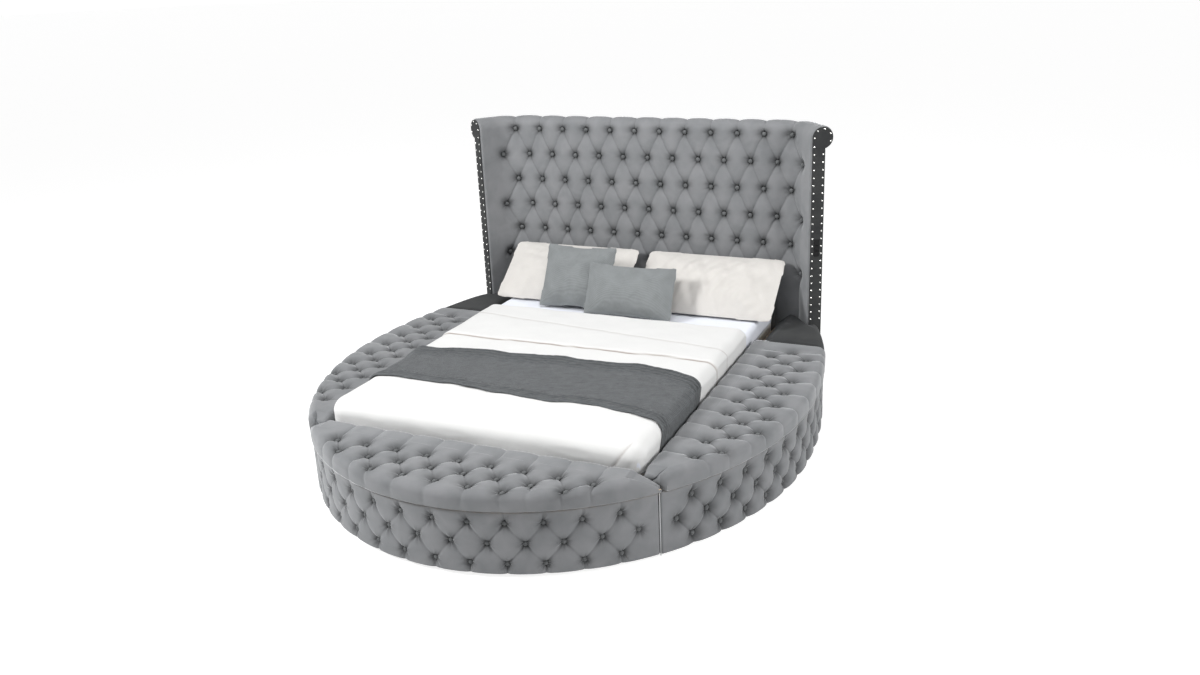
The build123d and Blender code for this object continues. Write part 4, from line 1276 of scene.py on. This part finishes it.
# %% Flat cloth of the duvet
duvet_low, duvet_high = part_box("duvet")
duvet_turn = 0.009
duvet_top = duvet_high.z - duvet_turn
duvet_round, duvet_plan_round = 0.062, 0.082
duvet_head = duvet_high.y
duvet_hang = hang_length(duvet_top - duvet_low.z, duvet_round)
past_head = duvet_head + 1.0


def on_duvet(across, along):
    """Places and normals of flat cloth laid over the duvet, which has no edge at its head."""
    rounds = (duvet_round, duvet_plan_round)
    return wrapped(across, along, duvet_high.x, duvet_low.y, past_head, duvet_top, *rounds)


across, along = laid_grid(
    duvet_low.x - duvet_hang, duvet_high.x + duvet_hang, duvet_low.y - duvet_hang, duvet_head, 0.0085
)
places, normal = on_duvet(across, along)
print("duvet grid", across.shape)

# %% [markdown]
# The turned-back end lies as a step across the bed, with a second sewn line in front of it. The sides that
# hang between mattress and lids are drawn in, because the lids pass there, and at the right front corner the
# spare cloth makes one upright fold.

# %% Swell and folds of the duvet
swell_height = 0.0042
swell_seed = 11
swell_waves = [(0.62, 1), (0.27, 0.6), (0.12, 0.25)]
drawn_in = 0.0048
head_round = 0.02
hem_y, hem_step, hem_share = 0.09, 0.016, 0.85
second_sunk, second_width = 0.0016, 0.014
hang_blend = 0.04
flute_height = 0.0006
corner_deep, corner_width = 0.004, 0.006
swell = swell_height * noise_field(np.stack([across, along], axis=-1), swell_seed, swell_waves)
hem_line = hem_y + 0.012 * np.sin(2.3 * across + 0.4) + 0.003 * np.sin(17 * across)
step_up = np.clip((along - hem_line) / hem_step, 0, 1)
swell = swell + duvet_turn * hem_share * (1 - (1 - step_up) ** 2)
second_line = 0.35 - 0.11 * across
swell -= second_sunk * np.exp(-(((along - second_line) / second_width) ** 2))
hanging = np.clip((duvet_top - duvet_round - places[..., 2]) / hang_blend, 0, 1)
round_bed = np.stack([across + along, along * 0], axis=-1)
flutes = flute_height * noise_field(round_bed, 13, [(0.16, 1), (0.07, 0.5)])
side_swell = np.minimum(swell * (1 - hanging) + flutes * hanging - drawn_in * hanging, 0.001)
swell = np.where(hanging > 0, side_swell, swell)
corner_line = 0.715 + 0.05 * (along + 0.84) / 0.08
corner_fold = np.exp(-(((across - corner_line) / corner_width) ** 2))
corner_fold *= np.clip((-0.82 - along) / 0.03, 0, 1)
swell -= corner_deep * corner_fold
swell -= edge_drop(duvet_head - along, head_round)
print("swells up to", round(float(swell.max()) * 1000, 1), "mm")

# %% [markdown]
# The lower face lies on the fitted sheet. Both faces are kept inside the frame's duvet, and painted shadow
# along the turned-back edge and the second line, and painted shade in the corner fold, are written as marks,
# which its cotton shows as thin darker lines.

# %% Duvet
cloth_gap = 0.0003
side_clear = 0.003
upper = places + normal * np.minimum(swell, duvet_turn)[..., None]
upper[..., 0] = np.clip(upper[..., 0], duvet_low.x + side_clear, duvet_high.x - side_clear)
upper[..., 1] = np.maximum(upper[..., 1], duvet_low.y - 0.0004)
under_block = (sheet_high.x + cloth_gap, sheet_low.y - cloth_gap, past_head, sheet_high.z + 0.0015)
under, _ = wrapped(across, along, *under_block, sheet_round + cloth_gap, sheet_plan_round + cloth_gap)
under[..., 2] = np.maximum(np.minimum(under[..., 2], upper[..., 2] - 0.001), duvet_low.z)
upper[..., 2] = np.maximum(upper[..., 2], duvet_low.z)
hem_shadow_marks = np.zeros((*across.shape, 4))
# painted shadow under the turned-back edge and along the second line, and painted shade in the corner fold
hem_dark = np.exp(-(((along - hem_line + 0.002) / 0.0045) ** 2))
second_dark = 0.4 * np.exp(-(((along - second_line) / 0.005) ** 2))
hem_shadow_marks[..., 3] = np.clip(np.maximum(np.maximum(hem_dark, second_dark), 0.4 * corner_fold), 0, 1)
duvet = closed_layer("duvet_cotton", "bed", upper, under, duvet_cotton, hem_shadow_marks)
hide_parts("duvet")

# %% [markdown]
# ## Throw
# The throw is gauze folded to a long band. It lies a little askew across the duvet and hangs down on both
# sides. Its front and back edges are drawn as lines of a few points, smoothed and made to wander, and the
# grid is stretched between them.

# %% Outline of the throw
throw_bottom = 0.349
throw_reach = duvet_high.x + hang_length(duvet_top - throw_bottom, duvet_round)
across, share = np.meshgrid(np.linspace(-throw_reach, throw_reach, 380), np.linspace(0, 1, 130))
edge_x = (-0.9, -0.76, -0.3, 0.17, 0.51, 0.7, 0.86)
front_y = (-0.6, -0.545, -0.535, -0.572, -0.548, -0.6, -0.68)
back_y = (-0.2, -0.15, -0.085, -0.07, -0.056, -0.1, -0.2)
smoothing = np.hanning(13) / np.hanning(13).sum()


def smooth_edge(values):
    """The line through an edge's few points, with its corners smoothed."""
    x = np.linspace(-1, 1, 81)
    padded = np.pad(np.interp(x, edge_x, values), 6, mode="edge")
    return np.interp(across, x, np.convolve(padded, smoothing, mode="valid"))


front = smooth_edge(front_y) + 0.005 * np.sin(across * 19 + 0.8) + 0.003 * np.sin(across * 41 + 2.1)
back = smooth_edge(back_y) + 0.006 * np.sin(across * 15 + 1.4) + 0.004 * np.sin(across * 33 + 0.3)
along = front + share * (back - front)
from_front, from_back = share * (back - front), (1 - share) * (back - front)
places, normal = on_duvet(across, along)
print("throw", round(float((back - front).mean()), 3), "m wide on average")

# %% [markdown]
# The folded layers show as long ridges that wander, closest together along the two edges. Each ridge is a
# soft bump of its own distance, width and height. On the hanging sides the gauze is gathered instead.

# %% Ridges and gathers of the throw
front_ridges = ((0.012, 0.009, 1), (0.034, 0.007, 0.8), (0.058, 0.008, 0.6), (0.15, 0.03, 0.2))
back_ridges = ((0.012, 0.009, 1.1), (0.035, 0.008, 1), (0.06, 0.008, 0.8), (0.088, 0.01, 0.7))
throw_rise = 0.0042
ridge_height, crinkle_height, gather_height_side = 0.0105, 0.0011, 0.0028
gathers_per_metre = 95
drift = 0.006 * np.sin(across * 4.1) + 0.003 * np.sin(across * 13 + 1)
from_front_fold, from_back_fold = from_front - drift * 0.6, from_back + drift


def ridge(distance, line, width):
    """A soft bump along a line at a distance from an edge."""
    return np.exp(-(((distance - line) / width) ** 2))


ridges = sum(height * ridge(from_front_fold, line, width) for line, width, height in front_ridges)
ridges += sum(height * ridge(from_back_fold, line, width) for line, width, height in back_ridges)
crinkle = noise_field(np.stack([across * 0.7, along * 2.4], axis=-1), 5, [(0.07, 1), (0.03, 0.7)])
side_turn = np.clip((duvet_top - duvet_round - places[..., 2]) / hang_blend, 0, 1)
gathered = gather_height_side * np.abs(np.sin(along * gathers_per_metre + 2 * crinkle)) * side_turn
under = swell_height * noise_field(np.stack([across, along], axis=-1), swell_seed, swell_waves)
lift = np.maximum(under, 0) * (1 - side_turn) + throw_rise + ridge_height * ridges
lift = lift + crinkle_height * crinkle + gathered
on_side = np.clip(0.0006 + gathered - gather_height_side, -0.0024, 0)
lift = lift * (1 - side_turn) + on_side * side_turn
print("ridges up to", round(float(lift.max()) * 1000, 1), "mm above the duvet's block")

# %% [markdown]
# The sides are kept clear of the opened lids by ending both faces just inside the duvet's width. Marks draw
# the row of stitches near the front edge and the shadowed valleys between the ridges.

# %% Throw
gauze_thick = 0.0032
upper_limit, lower_limit = 0.7702, 0.7684
front_valleys, back_valleys, valley_width = (0.023, 0.046), (0.023, 0.047, 0.074), 0.005
upper = places + normal * lift[..., None]
lower = places + normal * (lift - gauze_thick)[..., None]
for layer, limit in ((upper, upper_limit), (lower, lower_limit)):
    layer[..., 0] = np.clip(layer[..., 0], -limit, limit)
stitch = ridge(from_front, 0.074, 0.0035) * (np.sin(across * 260) > -0.2)
valleys = sum(ridge(from_front_fold, line, valley_width) for line in front_valleys)
valleys += sum(ridge(from_back_fold, line, valley_width) for line in back_valleys)
throw_marks = np.zeros((*across.shape, 4))
throw_marks[..., 3] = np.clip(0.75 * stitch + 0.6 * valleys, 0, 1)
throw = closed_layer("throw_gauze", "bed", upper, lower, throw_gauze, throw_marks)
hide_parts("throw")

# %% [markdown]
# ## Pillows and cushions by simulation
# A pillow's shape is what air and stuffing make of a flat cover, so it is made that way. The frame's plain
# cushion is laid flat, remeshed evenly and blown up as cloth for twenty frames with a little pressure and
# no gravity, its outline held. How far a point may move is capped, so that one that flies off can't spoil
# the piece.

# %% Even mesh
simulated_frames = 20


def even_mesh(bm, voxel, name):
    """An object with the mesh remade of even faces."""
    mesh = bpy.data.meshes.new(name + "_start")
    bm.to_mesh(mesh)
    bm.free()
    piece = bpy.data.objects.new(name + "_start", mesh)
    bpy.context.scene.collection.objects.link(piece)
    remesh = piece.modifiers.new("even", "REMESH")
    remesh.mode = "VOXEL"
    remesh.voxel_size = voxel
    depsgraph = bpy.context.evaluated_depsgraph_get()
    even = bpy.data.meshes.new_from_object(piece.evaluated_get(depsgraph))
    piece.modifiers.clear()
    piece.data = even
    return piece


# %% [markdown]
# A vertex group holds the outline, so the cover keeps its size and only its faces swell. With no gravity
# nothing slides, so each run gives the same shape.

# %% Blowing up a cover
def blow(piece, start, pressure, held):
    """Points of the piece after the cloth simulation, its outline beyond a share of its half size held."""
    edge = np.abs(start - start.mean(axis=0))[:, :2]
    edge = (edge / edge.max(axis=0)).max(axis=1)
    outline_group = piece.vertex_groups.new(name="outline")
    outline_group.add([int(i) for i in np.nonzero(edge > held)[0]], 1.0, "REPLACE")
    cloth = piece.modifiers.new("cover", "CLOTH")
    cloth.settings.vertex_group_mass = "outline"
    cloth.settings.use_pressure = True
    cloth.settings.uniform_pressure_force = pressure
    cloth.settings.effector_weights.gravity = 0
    cloth.settings.tension_stiffness = 20
    cloth.settings.bending_stiffness = 0.4
    cloth.settings.quality = 4
    for frame_number in range(1, simulated_frames + 1):
        bpy.context.scene.frame_set(frame_number)
    depsgraph = bpy.context.evaluated_depsgraph_get()
    blown = bpy.data.meshes.new_from_object(piece.evaluated_get(depsgraph))
    piece.modifiers.clear()
    bpy.context.scene.frame_set(1)
    return np.array([v.co for v in blown.vertices])


def blown_up(bm, voxel, pressure, cap, name):
    """Blow up a closed mesh as cloth, and return the new mesh and its points."""
    piece = even_mesh(bm, voxel, name)
    even = piece.data
    points = np.array([v.co for v in even.vertices])
    move = blow(piece, points, pressure, held=0.9) - points
    far = np.linalg.norm(move, axis=1)
    points = points + move * np.minimum(1, cap / np.maximum(far, 1e-9))[:, None]
    print(name, "moved up to", round(float(far.max()) * 1000, 1), "mm, capped at", cap * 1000)
    even.vertices.foreach_set("co", points.ravel())
    bpy.data.objects.remove(piece)
    return even, points


def smoothed(mesh):
    """The mesh for more work, its remeshing steps smoothed out."""
    bm = bmesh.new()
    bm.from_mesh(mesh)
    axes = {"use_axis_x": True, "use_axis_y": True, "use_axis_z": True}
    bmesh.ops.smooth_vert(bm, verts=bm.verts, factor=0.5, **axes)
    return bm


# %% [markdown]
# What pressure alone doesn't give is added by rule: soft dents, creases that run in from the sewn edge, and
# corners that the stuffing doesn't reach. A subdivision modifier then smooths the cover.

# %% Creases of a cover
def creased(points, seed, dent, bulge):
    """Dent the faces of a blown-up cover, crease its edge and draw its corners in."""
    half = np.abs(points).max(axis=0)
    share = np.clip(np.abs(points[:, :2]) / half[:2], 0, 1)
    seam = np.maximum(share[:, 0], share[:, 1])
    face = np.clip(np.abs(points[:, 2]) / half[2], 0, 1)
    pull = noise_field(points[:, :2], seed, [(0.3, 1), (0.12, 0.6), (0.06, 0.35)])
    corner = share[:, 0] * share[:, 1]
    crease = np.abs(np.sin(16 * np.arctan2(points[:, 1], points[:, 0]) + 2 * pull)) * seam**3
    points[:, 2] += np.sign(points[:, 2]) * face * dent * (pull - 0.5 * crease - corner)
    points[:, 0] *= 1 + 0.035 * (1 - share[:, 1] ** 2) * share[:, 0]
    points[:, 1] *= 1 + 0.09 * (1 - share[:, 0] ** 2) * share[:, 1] * bulge
    points[:, :2] *= (1 - 0.035 * corner**7)[:, None]
    return points


def cushion_piece(node, tilt, shrink, voxel, pressure, cap, material, slot, seed, dent, bulge):
    """A cushion made from a node: laid flat, blown up, creased and set back in its place."""
    low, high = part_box(node)
    lean = Matrix.Rotation(math.radians(tilt), 4, "X")
    back = Matrix.Translation((low + high) / 2) @ lean
    bm = bmesh.new()
    bm.from_mesh(nodes[node].data)
    bmesh.ops.remove_doubles(bm, verts=bm.verts, dist=1e-5)
    bmesh.ops.transform(bm, matrix=back.inverted(), verts=bm.verts)
    bmesh.ops.scale(bm, vec=shrink, verts=bm.verts)
    mesh, points = blown_up(bm, voxel, pressure, cap, node)
    mesh.vertices.foreach_set("co", creased(points, seed, dent, bulge).ravel())
    cover = smoothed(mesh)
    bmesh.ops.transform(cover, matrix=back, verts=cover.verts)
    piece = finished(cover, node + "_cover", "bed", material)
    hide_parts(node)
    finish = piece.modifiers.new("smooth", "SUBSURF")
    finish.levels = finish.render_levels = 1


# %% [markdown]
# ## Two pillows and two cushions
# The pillows are large and soft, so they get more air, deeper dents and rounder ends. The cushions are
# smaller and firmer, and keep their square shape. All lean back at the angles that they have in the frame.

# %% Pillows and cushions
pillow = {"tilt": 38, "shrink": (0.96, 0.93, 0.95), "voxel": 0.009, "pressure": 40, "cap": 0.024}
pillow |= {"material": pillow_cotton, "slot": "white_pillowcase", "dent": 0.02, "bulge": 1}
cushion = {"shrink": (0.97, 0.97, 0.93), "voxel": 0.008, "pressure": 30, "cap": 0.016}
cushion |= {"material": cushion_weave, "slot": "woven_cushion", "dent": 0.006, "bulge": 0}
cushion_piece("left_pillow", seed=21, **pillow)
cushion_piece("right_pillow", seed=22, **pillow)
cushion_piece("back_cushion", tilt=62, seed=31, **cushion)
cushion_piece("front_cushion", tilt=65, seed=32, **cushion)

# %% [markdown]
# ## Corner tops
# The fixed corners between the side lids and the headboard are plain padded boards. The frame's pad is
# carried down over its board's edge, as the cover is, and blown up a little like the cushions. The cover has
# to pass outside its board's curved edge, so its lower part is moved out by two millimetres.

# %% Corner tops
def corner_top():
    """The velvet of the right corner top, carried down over its board."""
    node = "right_corner_pad"
    bm = bmesh.new()
    bm.from_mesh(nodes[node].data)
    bmesh.ops.remove_doubles(bm, verts=bm.verts, dist=1e-5)
    for vert in bm.verts:
        if vert.co.z < board_top + 0.0005:
            vert.co.z = rim_low
    mesh, _ = blown_up(bm, voxel=0.006, pressure=3, cap=0.004, name=node)
    made = smoothed(mesh)
    made.normal_update()
    for vert in made.verts:
        if vert.normal.x > 0.3 and vert.co.z < board_top + 0.006:
            vert.co += Vector((vert.normal.x, vert.normal.y, 0)) * 0.0018
    # the darker velvet with painted shade, as the corner lies in shadow below the wing
    return finished(made, "right_corner_velvet", "bed", shaded_panel_velvet)


right_corner = corner_top()
left_corner = mirrored(right_corner, "left_corner_velvet", "bed")
for corner, pad in ((right_corner, "right_corner_pad"), (left_corner, "left_corner_pad")):
    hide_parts(pad)

# %% [markdown]
# ## Trim at the corners of the boxes
# Where the foot's face meets a side's face, the velvet is drawn round a thin cord, which shows as a
# light upright line. Above it, a strip of velvet covers the top edges of the walls between the lids. A
# cylinder and a flat bar with softened edges are enough, because both are seen only as lines.

# %% Welts and gussets
welt_radius = 0.0024
gusset_thick = 0.0009
# the pile stands open over the cord and catches more light, so the welt is paler
welt_velvet = velvet("cut_velvet_light_welt", "#b4b6b7", "#c6c8c9", 0.6)
before_corner = (face_line["points"][:, 1] < foot_high.y) & (face_line["points"][:, 0] > 0)
corner = face_line["points"][before_corner][-1]
corner_outward = face_line["normal"][nearest(face_line, corner[None])[0]]


def corner_welt(name, side):
    """The upright welt of one front corner."""
    spot = corner + corner_outward * 0.0012 + np.array((0, 0.0003))
    height = face_high - face_low
    seat = Matrix.Translation((side * spot[0], spot[1], face_low + height / 2))
    rod = {"segments": 10, "radius1": welt_radius, "radius2": welt_radius, "depth": height}
    bm = bmesh.new()
    bmesh.ops.create_cone(bm, cap_ends=True, matrix=seat, **rod)
    finished(bm, name + "_corner_welt", "bed", welt_velvet)


def corner_gusset(name, side):
    """The strip of velvet on the walls between two lids."""
    low, high = foot_high.y + 0.0009, side_low.y - 0.0012
    inside, outside = well_edge + 0.002, corner[0] + 0.0115
    middle = (side * (inside + outside) / 2, (low + high) / 2, seam_z + 0.0004)
    size = Matrix.Diagonal((outside - inside, high - low, gusset_thick, 1))
    strip = bmesh.new()
    bmesh.ops.create_cube(strip, size=1, matrix=Matrix.Translation(middle) @ size)
    softened = {"offset": 0.0003, "affect": "EDGES", "segments": 1, "profile": 0.5, "material": -1}
    bmesh.ops.bevel(strip, geom=strip.edges[:], **softened)
    # the gusset takes the darker velvet with painted shade
    finished(strip, name + "_corner_gusset", "bed", shaded_panel_velvet)


for name, side in (("right", 1), ("left", -1)):
    corner_welt(name, side)
    corner_gusset(name, side)

# %% [markdown]
# ## Wood, steel and plastics
# The boards, walls, hinges and slats keep the frame's meshes and only need their finish. Sawn wood has grain
# lines that run one way, so a noise is stretched along the board. Metal and moulded plastic are smooth, and
# a fine grain in their gloss keeps reflections from looking perfect.

# %% Wood and smooth materials
def wood(name, dark, light, grain, roughness):
    """Sawn wood with grain lines a real width apart."""
    material, tree, shader, place = new_material(name, {"Roughness": roughness})
    stretch = add_node(tree, "ShaderNodeMapping", {"Scale": (1, 0.06, 1)}, {"Vector": place})
    grain_noise = {"Scale": 1 / grain, "Detail": 6, "Roughness": 0.6}
    lines = add_node(tree, "ShaderNodeTexNoise", grain_noise, {"Vector": stretch.outputs[0]})
    tree.links.new(blend_colours(tree, lines.outputs[0], dark, light), shader.inputs["Base Color"])
    raised = {"Strength": 0.2, "Distance": 0.0006}
    bump = add_node(tree, "ShaderNodeBump", raised, {"Height": lines.outputs[0]})
    tree.links.new(bump.outputs[0], shader.inputs["Normal"])
    return material


def moulded(name, code, roughness, metallic=0.0, gloss=0.5):
    """A smooth material with a fine grain in its gloss, drawn coarser than real, at 0.8 mm."""
    look = {"Base Color": linear(code), "Metallic": metallic, "Roughness": roughness}
    material, tree, shader, place = new_material(name, look | {"Specular IOR Level": gloss})
    fine = add_node(tree, "ShaderNodeTexNoise", {"Scale": 1 / 0.0008, "Detail": 2}, {"Vector": place})
    about = {"To Min": roughness - 0.08, "To Max": roughness + 0.08}
    spread = add_node(tree, "ShaderNodeMapRange", about, {"Value": fine.outputs[0]})
    tree.links.new(spread.outputs[0], shader.inputs["Roughness"])
    return material


# %% [markdown]
# A piece's name tells what it is made of, so words in the names choose the finishes, and the first that
# fits is taken. Giving each piece its finish by hand would be a list of 59 names.

# %% Finishes of the frame's own pieces
# rotary-cut birch faces show pale, wide grain
plywood = wood("birch_plywood", "#c3a173", "#dcc39a", 0.009, 0.62)
# planing leaves pine a little smoother, with closer and warmer grain
pine = wood("planed_pine", "#cfa56b", "#e3c48f", 0.006, 0.55)
# a zinc coat reflects softly and reads as light grey metal
zinc = moulded("zinc_plated_steel", "#b9bcbf", 0.34, 1.0)
# the mould's fine texture takes the shine off the black
abs_black = moulded("moulded_abs_black", "#0b0c0d", 0.45, gloss=0.2)
glide_black = moulded("moulded_polypropylene_black", "#1f2022", 0.5)
# knitted loops, drawn coarser than real at 4 mm, make the mattress a soft uneven white
ticking = cloth_material("knitted_ticking_white", "#dcdcd8", "#ecece8", 0.004, 0.4, (20, 0.002))
# a close weave, drawn coarser than real at 1.6 mm, looks flat and dull beside the velvet
back_cloth = cloth_material("woven_polyester_dark_grey", "#4a4c4d", "#595b5c", 0.0016, 0.3, (8, 0.001))
finishes = (
    (plywood, ("_floor", "_wall", "_walls", "_lid_board", "corner_boards")),
    (pine, ("slats", "ledgers", "rail", "legs")),
    (zinc, ("hinge", "brackets")),
    (abs_black, ("power_outlet",)),
    (glide_black, ("glides",)),
    (ticking, ("mattress",)),
    # the wing panels take the darker velvet with painted shade
    (shaded_panel_velvet, ("wing_panel",)),
    (back_cloth, ("back_cover",)),
    (plywood, ("headboard_frame",)),
    (grey_velvet, ("",)),
)
for name, node in nodes.items():
    fitting = [material for material, words in finishes if any(word in name for word in words)]
    node.data.materials.clear()
    node.data.materials.append(fitting[0])
print("finished", len(nodes), "pieces of the frame")

# %% [markdown]
# ## Camera
# The camera stands where the photograph's did, solved from the ring, the seam and the headboard. The solved
# numbers are the eye's place, its right and up directions, and the lens in pixels of the photograph. They
# could be matched by eye, but a solved camera shows the sizes true.

# %% Camera
camera_data = bpy.data.cameras.new("camera")
camera = bpy.data.objects.new("camera", camera_data)
bpy.context.scene.collection.objects.link(camera)
bpy.context.scene.camera = camera
photo_width, photo_height = 1200, 675
focal_pixels = 1015.667
centre_pixels = (610.22, 309.76)
camera_data.sensor_width = 36
camera_data.lens = focal_pixels / photo_width * camera_data.sensor_width
camera_data.shift_x = -(centre_pixels[0] - photo_width / 2) / photo_width
camera_data.shift_y = (centre_pixels[1] - photo_height / 2) / photo_width
camera_data.clip_end = 400
eye = Vector((2.165, -4.2173, 2.2338))
right_way = Vector((0.9163419, 0.39847529, -0.03917856))
up_way = Vector((-0.09052562, 0.30149708, 0.94915996))
turn = Matrix((right_way, up_way, right_way.cross(up_way))).transposed().to_4x4()
camera.matrix_world = Matrix.Translation(eye) @ turn
print("lens", round(camera_data.lens, 2), "mm")

# %% [markdown]
# ## Floor and surroundings
# The bed stands on a studio floor that is nearly white in the picture and still takes a soft shadow. A lamp
# strong enough for that would bleach the bed, so the floor glows a little where the camera sees it, and
# only there.

# %% Floor
floor_bm = bmesh.new()
bmesh.ops.create_grid(floor_bm, x_segments=1, y_segments=1, size=150)
floor_mesh = bpy.data.meshes.new("floor")
floor_bm.to_mesh(floor_mesh)
floor_bm.free()
floor = bpy.data.objects.new("floor", floor_mesh)
bpy.context.scene.collection.objects.link(floor)
floor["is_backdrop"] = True
floor_material = bpy.data.materials.new("pale_studio_floor")
floor_material.use_nodes = True
floor_tree = floor_material.node_tree
floor_shader = floor_tree.nodes["Principled BSDF"]
floor_shader.inputs["Base Color"].default_value = linear("#f4f4f4")
floor_shader.inputs["Roughness"].default_value = 0.9
seen = add_node(floor_tree, "ShaderNodeLightPath").outputs["Is Camera Ray"]
glow = add_node(floor_tree, "ShaderNodeEmission", {"Color": linear("#ffffff"), "Strength": 1.7})
whiten = add_node(floor_tree, "ShaderNodeMath", {"operation": "MULTIPLY"}, {0: seen})
whiten.inputs[1].default_value = 0.5
layers = {"Fac": whiten.outputs[0], 1: floor_shader.outputs[0], 2: glow.outputs[0]}
mixed = add_node(floor_tree, "ShaderNodeMixShader", links=layers)
floor_tree.links.new(mixed.outputs[0], floor_tree.nodes["Material Output"].inputs["Surface"])
floor_mesh.materials.append(floor_material)
print("floor", round(floor.dimensions.x), "m wide")

# %% [markdown]
# The world is bright where the camera or a reflection sees it, and dim as a light, so that the soft boxes
# still shape the velvet. One even world would flatten every fold.

# %% World
world = bpy.data.worlds.new("studio")
bpy.context.scene.world = world
world.use_nodes = True
world_tree = world.node_tree
background = world_tree.nodes["Background"]
background.inputs["Color"].default_value = linear("#ffffff")
rays = add_node(world_tree, "ShaderNodeLightPath").outputs
either = {0: rays["Is Camera Ray"], 1: rays["Is Glossy Ray"]}
seen_or_mirrored = add_node(world_tree, "ShaderNodeMath", {"operation": "MAXIMUM"}, either).outputs[0]
dim_to_bright = {"To Min": 0.22, "To Max": 1.02}
strength = add_node(world_tree, "ShaderNodeMapRange", dim_to_bright, {"Value": seen_or_mirrored})
world_tree.links.new(strength.outputs[0], background.inputs["Strength"])

# %% [markdown]
# ## Lights
# A large soft box high on the left in front gives the light and its shadows, one overhead fills the lids and
# the bedding, and a weaker one at the right keeps the near side from going black. Square area lamps are used
# because a soft box is one, and their size sets how soft the shadows are.

# %% Soft boxes
def soft_box(name, place, target, size, power):
    """A square lamp that faces a point."""
    lamp = bpy.data.lights.new(name, "AREA")
    lamp.size = size
    lamp.energy = power
    holder = bpy.data.objects.new(name, lamp)
    bpy.context.scene.collection.objects.link(holder)
    way = Vector(target) - Vector(place)
    holder.matrix_world = Matrix.Translation(place) @ way.to_track_quat("-Z", "Y").to_matrix().to_4x4()
    print(name, power, "W")


soft_box("key", (-3.7, -3.4, 3.9), (0, 0, 0.5), 1.3, 320)
soft_box("top", (0.8, -0.6, 4.6), (0, 0, 0.3), 2.2, 95)
soft_box("side fill", (5.0, -0.9, 2.2), (0, 0, 0.4), 1.6, 125)
bpy.context.scene.view_settings.view_transform = "Standard"

# %% [markdown]
# ## Sizes
# The dressed bed has to keep the frame's size, so the growth of its box over the frame's box is printed.

# %% Print how far the box has grown
visual_low, visual_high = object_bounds()
cad_box, visual_box = (*cad_low, *cad_high), (*visual_low, *visual_high)
print("grown by", [round((v - c) * 1000, 1) for v, c in zip(visual_box, cad_box)])
